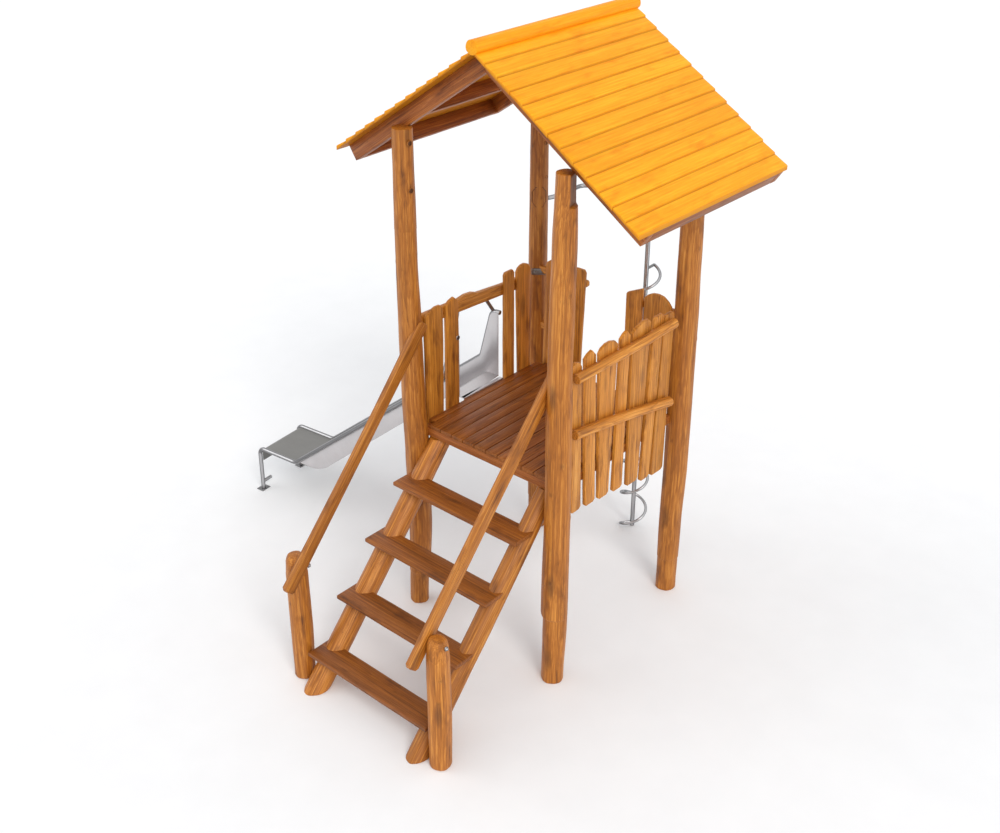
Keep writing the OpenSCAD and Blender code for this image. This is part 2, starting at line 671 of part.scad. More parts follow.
// Hoop that stands on the bends of both hand guards and leans away from the deck
module slide_hoop() color("silver") in_place() slide_place() {
    lean = 12;
    shoulder = 91;
    half = slide_w / 2;
    difference() {
        translate([guard_reach - guard_run - 12, 0, guard_top - 10]) rotate([0, lean, 0]) rotate([0, 0, 90])
            upright_plane() bent_tube([[-half, 0], [shoulder - half, hoop_h], [half - shoulder, hoop_h], [half, 0]],
                hoop_d, 35);
        for (side = [-1, 1]) slide_tube(side);
    }
}

// Climber
pole_x = -32;
pole_y = half_y + climb_reach;
spiral_start = 232;
module climb_pole() color("silver") in_place()
    translate([pole_x, pole_y, 0]) cylinder(d = climb_pole_d, h = climb_h);
module climb_spiral() color("silver") in_place() translate([pole_x, pole_y, 0]) {
    per_turn = 18;
    steps = round(spiral_turns * per_turn);
    sweep([for (i = [0:steps]) let (a = spiral_start + 360 * i / per_turn)
        [spiral_r * cos(a), spiral_r * sin(a), spiral_low + spiral_pitch * i / per_turn]],
        spiral_d, [0, 0, 1], sides = 8);
    for (i = [0, steps])
        rotate([0, 0, spiral_start + 360 * i / per_turn])
            translate([climb_pole_d / 2, 0, spiral_low + spiral_pitch * i / per_turn])
                rotate([0, 90, 0]) cylinder(d = spiral_d * 0.96, h = spiral_r - climb_pole_d / 2);
}
// Tube that holds the pole to the back left post
frame_d = 32;
frame_x = -half_x;
frame_z = climb_h - frame_d / 2 - 10;
frame_seat_y = half_y + 58;
module frame_seats() {
    translate([frame_x - 120, frame_seat_y, frame_z - 40]) cube([240, 200, 80]);
}
module climb_frame() color("silver") in_place() translate([0, 0, frame_z]) difference() {
    bent_tube([[frame_x - 12, frame_seat_y], [frame_x - 12, frame_seat_y + 20], [frame_x + 6, frame_seat_y + 80],
               [frame_x + 6, pole_y], [pole_x, pole_y]], frame_d, [20, 20, 75]);
    translate([pole_x, pole_y, -frame_d]) cylinder(d = climb_pole_d, h = 2 * frame_d);
}

post_front_left();
post_front_right();
post_back_left();
post_back_right();
deck_boards();
deck_beam_front();
deck_beam_back();
deck_beam_left();
deck_beam_right();
deck_joist();
stringer_left();
stringer_right();
tread_1();
tread_2();
tread_3();
tread_4();
newel_left();
newel_right();
handrail_left();
handrail_right();
roof_slope_left();
roof_slope_right();
ridge_pole();
ridge_beam();
rafter_front_left();
rafter_front_right();
rafter_back_left();
rafter_back_right();
roof_beams_left();
roof_beams_right();
slide_chute();
slide_rail_near();
slide_rail_far();
slide_hoop();
slide_side_pickets();
slide_side_rail();
fence_pickets();
fence_rail_upper();
fence_rail_lower();
back_pickets_left();
back_pickets_right();
back_rails_left();
back_rails_right();
panel_brackets();
climb_pole();
climb_spiral();
climb_frame();
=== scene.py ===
"""Looks of the wooden play tower: peeled logs, stained boards, yellow roof boards and tube steel."""
import math
import random

import bpy
import numpy as np
from mathutils import Matrix, Vector, noise


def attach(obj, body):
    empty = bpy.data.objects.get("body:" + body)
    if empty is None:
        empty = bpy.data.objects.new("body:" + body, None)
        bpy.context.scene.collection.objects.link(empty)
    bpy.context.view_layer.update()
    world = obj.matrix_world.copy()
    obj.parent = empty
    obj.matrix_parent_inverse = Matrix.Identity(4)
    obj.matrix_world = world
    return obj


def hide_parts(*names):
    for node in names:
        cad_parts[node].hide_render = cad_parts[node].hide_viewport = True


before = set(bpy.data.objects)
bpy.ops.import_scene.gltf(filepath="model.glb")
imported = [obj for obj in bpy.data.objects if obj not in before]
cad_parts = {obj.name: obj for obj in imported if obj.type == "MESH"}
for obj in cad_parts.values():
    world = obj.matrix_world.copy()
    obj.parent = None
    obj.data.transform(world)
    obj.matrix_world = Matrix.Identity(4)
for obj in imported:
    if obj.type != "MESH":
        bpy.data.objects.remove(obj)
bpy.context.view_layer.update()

BODY = "root"
HALF_X, HALF_Y = 0.618, 0.670              # half the distances between the posts
MID = np.array([HALF_X, HALF_Y, 0.0])      # middle of the tower seen from the frame's origin
rnd = random.Random(11)


def tan(a):
    """Tangent of an angle in degrees."""
    return math.tan(math.radians(a))


def sin(a):
    """Sine of an angle in degrees."""
    return math.sin(math.radians(a))


def cos(a):
    """Cosine of an angle in degrees."""
    return math.cos(math.radians(a))


# Sizes in metres, as in the part
POST_H, POST_D = 3.552, 0.155
DECK_H, DECK_T, DECK_EDGE = 1.504, 0.028, 0.568
BEAM_H, BEAM_W = 0.062, 0.066
BEAM_TOP = DECK_H - DECK_T
BEAM_LOW = BEAM_TOP - BEAM_H
DECK_FRONT = -HALF_Y + 0.042
DECK_BACK = HALF_Y - 0.042 - 0.028
TREADS, TREAD_L, TREAD_W, TREAD_T, GOING, FIRST = 4, 1.084, 0.188, 0.032, 0.281, 0.248
RISER = (DECK_H - FIRST) / TREADS
STAIR = math.degrees(math.atan2(RISER, GOING))
TREAD_FRONT = DECK_FRONT - TREADS * GOING - 0.048
NEWEL_X, NEWEL_Y, NEWEL_H, NEWEL_D = 0.634, TREAD_FRONT + 0.035, 0.980, 0.140
RAIL_W, RAIL_T = 0.092, 0.046
RAIL_X = NEWEL_X - NEWEL_D / 2 + 0.014 - RAIL_T / 2
STRINGERS = {"left": (-0.464, 0.138 * 1.12, 5), "right": (0.480, 0.138, 6)}
PITCH, ROOF_H, ROOF_RUN, ROOF_L, ROOF_N = 34.2, 4.118, 1.186, 1.522, 13
ROOF_T, ROOF_Y = 0.019, 0.040
RAFTER_H, RAFTER_T, RAFTER_RUN = 0.105, 0.060, 1.180
RAFTER_Y = (-HALF_Y + 0.055, HALF_Y + 0.055)
ROOF_BEAM_T, RIDGE_D = 0.045, 0.090
PICKET_T = 0.025
LEFT, RIGHT = -DECK_EDGE, HALF_X + 0.018
FENCE_TOP = DECK_H + 0.800
PICKET_LOW = BEAM_LOW - 0.020
SLIDE_Y = -0.003
TUBE_R = 0.017


class Shape:
    """Vertices and faces of one piece, with wood coordinates, a tone and a dark mark at each vertex; the mark
    gives knots and scribed lines their own dark colour, and paints shade into bolt holes, onto flat cuts and
    along roof laps.
    """

    def __init__(self):
        self.points, self.faces, self.grain, self.tone, self.mark = [], [], [], [], []
        self.count = 0

    def add(self, points, faces, grain, tone, mark=None):
        points = np.asarray(points, float)
        self.points.append(points)
        self.grain.append(np.asarray(grain, float))
        self.tone.append(np.full(len(points), tone))
        self.mark.append(np.zeros(len(points)) if mark is None else np.asarray(mark, float))
        self.faces += [tuple(i + self.count for i in f) for f in faces]
        self.count += len(points)

    def build(self, name, material, slot, replaces=(), angle=32):
        mesh = bpy.data.meshes.new(name)
        points = np.concatenate(self.points) + MID
        mesh.from_pydata(points.tolist(), [], self.faces)
        for label, kind, parts in (("grain", "FLOAT_VECTOR", self.grain), ("tone", "FLOAT", self.tone),
                                   ("mark", "FLOAT", self.mark)):
            layer = mesh.attributes.new(label, kind, "POINT")
            layer.data.foreach_set("vector" if kind == "FLOAT_VECTOR" else "value",
                                   np.concatenate(parts).astype(np.float32).ravel())
        mesh.validate()
        mesh.polygons.foreach_set("use_smooth", [True] * len(mesh.polygons))
        mesh.set_sharp_from_angle(angle=math.radians(angle))
        mesh.materials.append(material)
        piece = bpy.data.objects.new(name, mesh)
        bpy.context.scene.collection.objects.link(piece)
        if replaces:
            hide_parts(*replaces)
        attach(piece, BODY)


def rings_to_faces(rows, sides):
    """Faces of a closed skin through rings of points, with both ends shut."""
    faces = []
    for i in range(rows - 1):
        for j in range(sides):
            a, b = i * sides + j, i * sides + (j + 1) % sides
            faces.append((a, b, b + sides, a + sides))
    faces.append(tuple(range(sides - 1, -1, -1)))
    faces.append(tuple(range((rows - 1) * sides, rows * sides)))
    return faces


LOG_SIDES = 56


def smooth_step(t):
    """Share from 0 to 1, eased at both ends."""
    return t * t * (3 - 2 * t)


def station(table, s, k):
    """Column k of a table at share s of the length, eased from row to row."""
    for a, b in zip(table, table[1:]):
        if s <= b[0] or b is table[-1]:
            return a[k] + (b[k] - a[k]) * smooth_step(min(1, max(0, (s - a[0]) / (b[0] - a[0]))))


def knobble(turn, seed, sides=14):
    """The part's uneven log outline, rounded between its flat sides."""
    def at(j):
        j = j % sides
        return 1 + 0.022 * sin(j * 131 + seed * 71) + 0.012 * sin(j * 67 + seed * 37)
    u = (turn % 1) * sides
    j, t = int(u), u - int(u)
    p0, p1, p2, p3 = at(j - 1), at(j), at(j + 1), at(j + 2)
    return p1 + 0.5 * t * (p2 - p0 + t * (2 * p0 - 5 * p1 + 4 * p2 - p3 + t * (3 * (p1 - p2) + p3 - p0)))


def worked(r, turn, level, knots, ledges, flats):
    """Radius and darkness of a log at one point, after its knots, ledges and flat cuts; the knots' darkness
    is their own colour, the flat cuts' darkness is painted shade.
    """
    dark = 0.0
    for knot_turn, knot_level, size, depth in knots:
        aside = (turn - knot_turn + 0.5) % 1 - 0.5
        far = ((aside * 2 * math.pi * r) ** 2 + ((level - knot_level) * 0.8) ** 2) / size ** 2
        if far < 9:
            r += depth * math.exp(-far)
            dark = max(dark, 0.55 * math.exp(-far * 1.6))
    for ledge_level, drop, soft, share in ledges:
        r -= drop * share(360 * turn) * smooth_step(min(1, max(0, (ledge_level - level) / soft)))
    # Flat cuts: the cut face takes painted shade
    for angle, reach, above, shade in flats:
        facing = cos(360 * turn - angle)
        if level > above and r * facing > reach:
            r = reach / facing
            dark = max(dark, shade)
    return r, dark


def log(shape, origin, axes, table, length, diameter, seed, step=0.02, chamfer=0.006, low=None,
        high=None, knots=(), ledges=(), flats=(), rough=0.0012):
    """Peeled log along axes[2]; low and high are levels where a sloping log is cut off level."""
    ax, ay, az = (np.array(a, float) for a in axes)
    origin = np.array(origin, float)
    start, end = np.zeros(LOG_SIDES), np.full(LOG_SIDES, length)
    turn = np.arange(LOG_SIDES) / LOG_SIDES
    outline = np.array([knobble(t, seed) for t in turn])
    radial = np.array([ax * cos(360 * t) + ay * sin(360 * t) for t in turn])
    if low is not None:
        r0 = diameter / 2 * outline
        start = (low - origin[2] - r0 * radial[:, 2]) / az[2]
        end = (high - origin[2] - r0 * radial[:, 2]) / az[2]
    middle = np.linspace(2.5 * chamfer, length - 2.5 * chamfer, max(12, int(length / step)))
    levels = [0, chamfer * 0.35, chamfer, *middle, length - chamfer, length - chamfer * 0.35, length]
    points, grain, mark = [], [], []
    for level in levels:
        edge = min(level, length - level)
        shrink = 0.0 if edge >= chamfer else chamfer * (1 - math.sqrt(max(0, 1 - (1 - edge / chamfer) ** 2)))
        s = level / length
        cx, cy, factor = (station(table, s, k) for k in (1, 2, 3))
        for j in range(LOG_SIDES):
            x, y, z = radial[j] * 2.1
            where = Vector((x + seed * 3.7, y, z + level * 2.2))
            r = diameter / 2 * factor * outline[j]
            r += rough * (noise.noise(where * 2.3) + 0.6 * noise.noise(where * 6.1))
            r, dark = worked(r, turn[j], level, knots, ledges, flats)
            r = max(0.01, r - shrink)
            along = start[j] + (end[j] - start[j]) * s
            points.append(origin + ax * cx + ay * cy + radial[j] * r + az * along)
            grain.append((cx * 0.3 + r * cos(360 * turn[j]), cy * 0.3 + r * sin(360 * turn[j]), along))
            mark.append(dark)
    shape.add(points, rings_to_faces(len(levels), LOG_SIDES), grain, (seed * 0.37) % 1, mark)


def frames_along(path):
    """Tangent and two cross directions at each point of a path, carried along it without twist."""
    last = len(path) - 1
    frames = []
    for i in range(len(path)):
        t = path[min(i + 1, last)] - path[max(i - 1, 0)]
        t = t / np.linalg.norm(t)
        side = frames[-1][1] if frames else np.cross(t, [0.31, 0.17, 0.93])
        side = side - t * side.dot(t)
        side = side / np.linalg.norm(side)
        frames.append((t, side, np.cross(t, side)))
    return frames


def tube(shape, path, radius, sides=20, cap=0.0015, seed=0, waver=0.0, tone=0.5, flat=None, dark=0.0):
    """Tube or round rail along a list of points; flat moves points out to a face it lies against."""
    path = [np.array(p, float) for p in path]
    frames = frames_along(path)
    last = len(path) - 1
    rows = [(0, 0.0, radius - cap), (0, cap, radius)]
    rows += [(i, 0.0, radius) for i in range(1, last)]
    rows += [(last, -cap, radius), (last, 0.0, radius - cap)]
    points, grain = [], []
    for i, shift, r0 in rows:
        length = sum(np.linalg.norm(path[k + 1] - path[k]) for k in range(i))
        t, u, w = frames[i]
        for j in range(sides):
            a = 2 * math.pi * j / sides
            r = r0
            if seed:
                r *= knobble(j / sides, seed, 12)
                r += waver * noise.noise(Vector((math.cos(a) + seed, math.sin(a), length * 5)))
            q = path[i] + t * shift + u * math.cos(a) * r + w * math.sin(a) * r
            points.append(flat(q) if flat else q)
            grain.append((r * math.cos(a), r * math.sin(a), length + shift))
    shape.add(points, rings_to_faces(len(rows), sides), grain, tone, np.full(len(points), dark))


def bent(points, radii, steps=10):
    """Polyline with its corners bent to a radius."""
    p = [np.array(q, float) for q in points]
    out = [p[0]]
    for i in range(1, len(p) - 1):
        a, b = p[i] - p[i - 1], p[i + 1] - p[i]
        w = math.atan2(a[0] * b[1] - a[1] * b[0], a.dot(b))
        v = a / np.linalg.norm(a)
        r = radii[i - 1]
        start = p[i] - v * r * math.tan(abs(w) / 2)
        eye = start + math.copysign(r, w) * np.array((-v[1], v[0]))
        f = start - eye
        for k in range(steps + 1):
            c, s = math.cos(w * k / steps), math.sin(w * k / steps)
            out.append(eye + np.array((f[0] * c - f[1] * s, f[0] * s + f[1] * c)))
    return out + [p[-1]]


def refine(path, step):
    """Path with points added until they are about a step apart."""
    out = []
    for a, b in zip(path, path[1:]):
        a, b = np.array(a, float), np.array(b, float)
        k = max(1, int(np.linalg.norm(b - a) / step))
        out += [a + (b - a) * j / k for j in range(k)]
    return out + [np.array(path[-1], float)]


# Bolt heads and counterbored holes: share of the size, height, darkness; in the holes the darkness is painted
# shade
BOLT = [(1.35, -0.004, 0), (1.35, 0.002, 0), (1.2, 0.003, 0), (0.95, 0.003, 0), (0.9, 0.007, 0),
        (0.6, 0.011, 0), (0.2, 0.012, 0)]
BOLT_HOLE = [(1.5, -0.005, 0.3), (1.4, 0.0005, 0.2), (1.1, 0.001, 0.5), (1, -0.001, 0.9), (0.9, -0.004, 1),
             (0.1, -0.0045, 1)]


def lathe(shape, centre, axis, size, profile, sides=20):
    """Round fitting turned about axis."""
    w = np.array(axis, float) / np.linalg.norm(axis)
    u = np.cross(w, (0.3, 0.2, 0.9))
    u /= np.linalg.norm(u)
    v = np.cross(w, u)
    points, grain, mark = [], [], []
    for share, h, dark in profile:
        for j in range(sides):
            x, y = share * size * cos(360 * j / sides), share * size * sin(360 * j / sides)
            points.append(np.array(centre, float) + u * x + v * y + w * h)
            grain.append((x, y, h))
            mark.append(dark)
    shape.add(points, rings_to_faces(len(profile), sides), grain, 0.5, mark)


# Boards
PITH = (0.05, 0.07)        # how far beside and below a board the heart of its tree lies


def inset(outline, d):
    """Outline moved inwards by d at every edge."""
    p = np.array(outline, float)
    before, after = np.roll(p, 1, 0), np.roll(p, -1, 0)
    e0, e1 = p - before, after - p
    e0 /= np.linalg.norm(e0, axis=1)[:, None]
    e1 /= np.linalg.norm(e1, axis=1)[:, None]
    n0 = np.stack([-e0[:, 1], e0[:, 0]], 1)
    n1 = np.stack([-e1[:, 1], e1[:, 0]], 1)
    m = n0 + n1
    m /= np.linalg.norm(m, axis=1)[:, None]
    return p + m * (d / np.maximum(0.55, (m * n0).sum(1)))[:, None]


def densify(outline, step, waver, seed):
    """Outline with points added along its edges, which waver a little."""
    out = []
    n = len(outline)
    for i in range(n):
        a, b = np.array(outline[i], float), np.array(outline[(i + 1) % n], float)
        gap = np.linalg.norm(b - a)
        k = max(1, int(gap / step))
        normal = np.array([-(b - a)[1], (b - a)[0]]) / max(gap, 1e-9)
        for j in range(k):
            q = a + (b - a) * j / k
            if j and waver:
                q = q + normal * waver * noise.noise(Vector((q[0] * 7 + seed, q[1] * 7, seed * 1.7)))
            out.append(q)
    return out


def board(shape, outline, t0, t1, place, along, edge=0.004, tone=None, waver=0.0012, step=0.05):
    """Flat piece: an outline in the plane of place[0] and place[1], from t0 to t1 along place[2].
    along is the share of each of the first two directions in the direction of the grain."""
    tone = rnd.random() if tone is None else tone
    area = sum(a[0] * b[1] - b[0] * a[1] for a, b in zip(outline, outline[1:] + outline[:1]))
    if area < 0:
        outline = outline[::-1]
    ring = densify(outline, step, waver, tone * 50)
    A, B, C, O = (np.array(v, float) for v in place)
    rows = []
    for d, t in ((edge, t0), (edge * 0.3, t0 + edge * 0.3), (0, t0 + edge), (0, t1 - edge),
                 (edge * 0.3, t1 - edge * 0.3), (edge, t1)):
        rows.append([(q[0], q[1], t) for q in (inset(ring, d) if d else ring)])
    n = len(ring)
    flat = np.array([q for row in rows for q in row])
    points = O + flat[:, :1] * A + flat[:, 1:2] * B + flat[:, 2:3] * C
    g = np.array(along, float) / np.linalg.norm(along)
    lengthwise = flat[:, 0] * g[0] + flat[:, 1] * g[1]
    across = -flat[:, 0] * g[1] + flat[:, 1] * g[0]
    beside = across - across.mean() + PITH[0] * (tone - 0.5) * 2
    grain = np.stack([beside, flat[:, 2] - t0 + PITH[1], lengthwise], 1)
    faces = rings_to_faces(len(rows), n)
    if np.dot(np.cross(A, B), C) < 0:
        faces = [f[::-1] for f in faces]
    shape.add(points, faces, grain, tone)


X, Y, Z = (1, 0, 0), (0, 1, 0), (0, 0, 1)
PLAN = (X, Y, Z, (0, 0, 0))


def box(x0, x1, y0, y1):
    """Corners of a rectangle."""
    return [(x0, y0), (x1, y0), (x1, y1), (x0, y1)]


def octagon(w, h, corner):
    """Corners of a rectangle of half sizes w and h with its corners cut off."""
    return [(-w, -h + corner), (-w + corner, -h), (w - corner, -h), (w, -h + corner), (w, h - corner),
            (w - corner, h), (-w + corner, h), (-w, h - corner)]


# Materials
class Nodes:
    """A short way to write a node tree."""

    def __init__(self, name):
        self.material = bpy.data.materials.new(name)
        self.material.use_nodes = True
        self.tree = self.material.node_tree
        self.tree.nodes.clear()
        self.out = self.tree.nodes.new("ShaderNodeOutputMaterial")
        self.bsdf = self.tree.nodes.new("ShaderNodeBsdfPrincipled")
        self.tree.links.new(self.bsdf.outputs[0], self.out.inputs[0])

    def link(self, a, b):
        self.tree.links.new(a, b)

    def put(self, socket, value):
        if isinstance(value, bpy.types.NodeSocket):
            self.link(value, socket)
        else:
            socket.default_value = value

    def attribute(self, name, output):
        node = self.tree.nodes.new("ShaderNodeAttribute")
        node.attribute_name = name
        return node.outputs[output]

    def combine(self, kind, operation, a, b, out):
        node = self.tree.nodes.new(kind)
        node.operation = operation
        self.put(node.inputs[0], a)
        self.put(node.inputs[1], b)
        return node.outputs[out]

    def math(self, operation, a, b=0.0):
        return self.combine("ShaderNodeMath", operation, a, b, 0)

    def vector(self, operation, a, b=(0, 0, 0), out=0):
        return self.combine("ShaderNodeVectorMath", operation, a, b, out)

    def noise(self, vector, scale, detail, roughness=0.55, out=0):
        node = self.tree.nodes.new("ShaderNodeTexNoise")
        self.put(node.inputs["Vector"], vector)
        node.inputs["Scale"].default_value = scale
        node.inputs["Detail"].default_value = detail
        node.inputs["Roughness"].default_value = roughness
        return node.outputs[out]

    def stretched(self, grain, scale, detail, roughness=0.55, out=0):
        """Noise with a scale of its own along each direction of the grain."""
        return self.noise(self.vector("MULTIPLY", grain, scale), 1.0, detail, roughness, out)

    def ramp(self, value, stops, mode="LINEAR"):
        node = self.tree.nodes.new("ShaderNodeValToRGB")
        node.color_ramp.interpolation = mode
        elements = node.color_ramp.elements
        while len(elements) < len(stops):
            elements.new(0.5)
        for element, (position, color) in zip(elements, stops):
            element.position = position
            element.color = (*color, 1) if hasattr(color, "__len__") else (color, color, color, 1)
        self.put(node.inputs[0], value)
        return node.outputs[0]

    def mix(self, factor, a, b, mode="MIX"):
        node = self.tree.nodes.new("ShaderNodeMix")
        node.data_type = "RGBA"
        node.blend_type = mode
        self.put(node.inputs[0], factor)
        for socket, value in ((node.inputs[6], a), (node.inputs[7], b)):
            if isinstance(value, tuple):
                value = (*value, 1)
            self.put(socket, value)
        return node.outputs[2]

    def bump(self, height, strength, distance, below=None):
        node = self.tree.nodes.new("ShaderNodeBump")
        node.inputs["Strength"].default_value = strength
        node.inputs["Distance"].default_value = distance
        self.put(node.inputs["Height"], height)
        if below is not None:
            self.link(below, node.inputs["Normal"])
        return node.outputs[0]


def linear(screen):
    """Screen colour 0..255 to the colour a shader takes."""
    shares = [c / 255 for c in screen]
    return tuple(((c + 0.055) / 1.055) ** 2.4 if c > 0.04045 else c / 12.92 for c in shares)


def growth_rings(n, raw, grain, ring):
    """Bands of early and late wood around a pith that wanders along the board."""
    slow = n.stretched(grain, (4, 4, 0.7), 2.0, out=1)
    bend = n.vector("MULTIPLY", n.vector("SUBTRACT", slow, (0.5, 0.5, 0.5)), (0.022, 0.022, 0.0))
    fine = n.stretched(grain, (42, 42, 3.0), 2.0, out=1)
    ripple = n.vector("MULTIPLY", n.vector("SUBTRACT", fine, (0.5, 0.5, 0.5)), (0.006, 0.006, 0.0))
    across = n.vector("MULTIPLY", n.vector("ADD", n.vector("ADD", raw, bend), ripple), (1, 1, 0))
    wave = n.math("FRACT", n.math("DIVIDE", n.vector("LENGTH", across, out=1), ring))
    return n.ramp(wave, [(0.0, 0.15), (0.55, 0.45), (0.88, 1.0), (1.0, 0.2)], "EASE")


def knot_mask(n, grain, strength):
    """Knots: cells stretched along the grain, of which only some show."""
    cell = n.tree.nodes.new("ShaderNodeTexVoronoi")
    cell.inputs["Scale"].default_value = 1.0
    n.put(cell.inputs["Vector"], n.vector("MULTIPLY", grain, (9.0, 9.0, 2.6)))
    draw = n.vector("DOT_PRODUCT", cell.outputs["Color"], (0.5, 0.5, 0.2), out=1)
    spot = n.ramp(cell.outputs["Distance"], [(0.0, 1.0), (0.16, 0.7), (0.3, 0.0)])
    return n.math("MULTIPLY", n.math("MULTIPLY", spot, n.math("GREATER_THAN", draw, 0.78)), strength)


def crack_mask(n, grain, strength):
    """Drying cracks: thin lines along the grain, in some places only."""
    check = n.stretched(grain, (110, 110, 1.5), 2.0, 0.5)
    line = n.ramp(n.math("ABSOLUTE", n.math("SUBTRACT", check, 0.5)), [(0.0, 1.0), (0.012, 0.0)])
    where = n.ramp(n.stretched(grain, (14, 14, 1.2), 2.0), [(0.52, 0.0), (0.62, 1.0)])
    return n.math("MULTIPLY", n.math("MULTIPLY", line, where), strength)


def wood(name, dark, mid, light, tones, ring=0.0045, contrast=0.3, rough=(0.38, 0.56), bump=0.35,
         checks=0.8, knots=0.7, gloss=0.4):
    """Stained softwood: growth rings, fibres, streaks, knots and cracks along the grain."""
    dark, mid, light = linear(dark), linear(mid), linear(light)
    n = Nodes(name)
    tone = n.attribute("tone", "Fac")
    raw = n.attribute("grain", "Vector")
    grain = n.vector("ADD", raw, n.vector("MULTIPLY", n.attribute("tone", "Vector"), (7.0, 5.0, 9.0)))
    rings = growth_rings(n, raw, grain, ring)
    fibre = n.stretched(grain, (380, 380, 7), 3.0, 0.65)
    streak = n.stretched(grain, (84, 84, 1.4), 4.0, 0.66)
    cloud = n.stretched(grain, (9, 9, 2.2), 3.0)
    stain = n.ramp(n.stretched(grain, (13, 13, 4.0), 3.0), [(0.56, 0.0), (0.74, 1.0)])
    knot = knot_mask(n, grain, knots)
    crack = crack_mask(n, grain, checks)
    value = n.math("MULTIPLY", rings, 0.34 * contrast)
    for part, share in ((streak, 0.54), (fibre, 0.40), (cloud, 0.20), (stain, 0.16)):
        value = n.math("ADD", value, n.math("MULTIPLY", part, share))
    color = n.ramp(value, [(0.42, light), (0.60, mid), (0.86, dark)])
    color = n.mix(n.math("MULTIPLY", knot, 0.85), color, tuple(0.45 * c for c in dark))
    # The mark darkens knots and scribed lines in their own colour, and paints shade into bolt holes, onto
    # flat cuts and along the roof boards' laps
    color = n.mix(n.math("MULTIPLY", n.attribute("mark", "Fac"), 0.8), color, tuple(0.35 * c for c in dark))
    color = n.mix(crack, color, tuple(0.25 * c for c in dark))
    color = n.mix(1.0, color, n.ramp(tone, [(0.0, tones[0]), (1.0, tones[1])]), "MULTIPLY")
    n.link(color, n.bsdf.inputs["Base Color"])
    n.link(n.ramp(value, [(0.3, rough[0]), (0.9, rough[1])]), n.bsdf.inputs["Roughness"])
    n.bsdf.inputs["Specular IOR Level"].default_value = gloss
    relief = n.bump(n.math("SUBTRACT", fibre, n.math("MULTIPLY", crack, 1.5)), bump, 0.0012)
    relief = n.bump(n.math("ADD", rings, n.math("MULTIPLY", knot, 1.2)), bump * 0.5, 0.0008, relief)
    n.link(relief, n.bsdf.inputs["Normal"])
    return n.material


def steel(name, colour, roughness, brush, painted_reflection_bands=None):
    """Stainless steel with handling marks; brush stretches the scratches along the grain's last axis.
    Optional [turn away from the eye, brightness] stops paint reflection streaks into the colour, mostly
    bright where the surface faces the eye and dark toward its outline, like those polished tubes show."""
    n = Nodes(name)
    grain = n.attribute("grain", "Vector")
    line = n.stretched(grain, brush, 3.0, 0.7)
    cloud = n.noise(grain, 6.0, 3.0)
    smear = n.stretched(grain, (40, 40, 12), 4.0, 0.6)
    shade = n.ramp(n.math("ADD", n.math("MULTIPLY", line, 0.6), n.math("MULTIPLY", cloud, 0.4)),
                   [(0.3, tuple(0.82 * c for c in colour)), (0.7, colour)])
    # Painted reflection: the colour is multiplied by streaks set by how far the surface turns from the eye
    if painted_reflection_bands:
        weight = n.tree.nodes.new("ShaderNodeLayerWeight")
        weight.inputs["Blend"].default_value = 0.5
        drift = n.math("MULTIPLY", n.math("SUBTRACT", cloud, 0.5), 0.25)
        turned = n.math("ADD", weight.outputs["Facing"], drift)
        shade = n.mix(1.0, shade, n.ramp(turned, painted_reflection_bands), "MULTIPLY")
    n.link(shade, n.bsdf.inputs["Base Color"])
    n.bsdf.inputs["Metallic"].default_value = 1.0
    level = n.math("ADD", n.math("MULTIPLY", line, 0.16), n.math("MULTIPLY", smear, 0.14))
    n.link(n.math("ADD", level, roughness - 0.15), n.bsdf.inputs["Roughness"])
    n.link(n.bump(line, 0.12, 0.0003), n.bsdf.inputs["Normal"])
    return n.material


LOG = wood("log_wood", (90, 46, 9), (173, 103, 30), (224, 152, 64), (0.86, 1.1), contrast=0.2)
PLANK = wood("plank_wood", (78, 41, 12), (146, 82, 24), (190, 118, 46), (0.86, 1.1), contrast=0.35)
PICKET = wood("picket_wood", (118, 64, 14), (204, 131, 44), (240, 174, 80), (0.84, 1.1), contrast=0.4)
BEAM = wood("beam_wood", (96, 46, 12), (162, 90, 30), (204, 130, 56), (0.85, 1.08), contrast=0.4)
ROOF = wood("roof_wood", (236, 132, 8), (252, 166, 18), (255, 190, 36), (0.92, 1.05),
            contrast=0.15, rough=(0.42, 0.55), bump=0.18, checks=0.1, knots=0.08, gloss=0.2)
SHEET = steel("sheet_steel", (0.64, 0.615, 0.62), 0.38, (260, 4, 260))
# Darker copy of the sheet steel for the run-out: a painted dark reflection on the slide's level part
RUNOUT = steel("runout_steel", (0.27, 0.265, 0.255), 0.42, (260, 4, 260))
# Tube steel, with painted reflection streaks in its colour
TUBE = steel("tube_steel", (0.62, 0.615, 0.63), 0.30, (90, 90, 500),
             [(0.0, 0.95), (0.22, 0.9), (0.36, 0.40), (0.48, 0.28), (0.62, 0.66), (0.80, 0.22), (1.0, 0.4)])
STRAP = steel("strap_steel", (0.30, 0.29, 0.28), 0.5, (120, 8, 120))

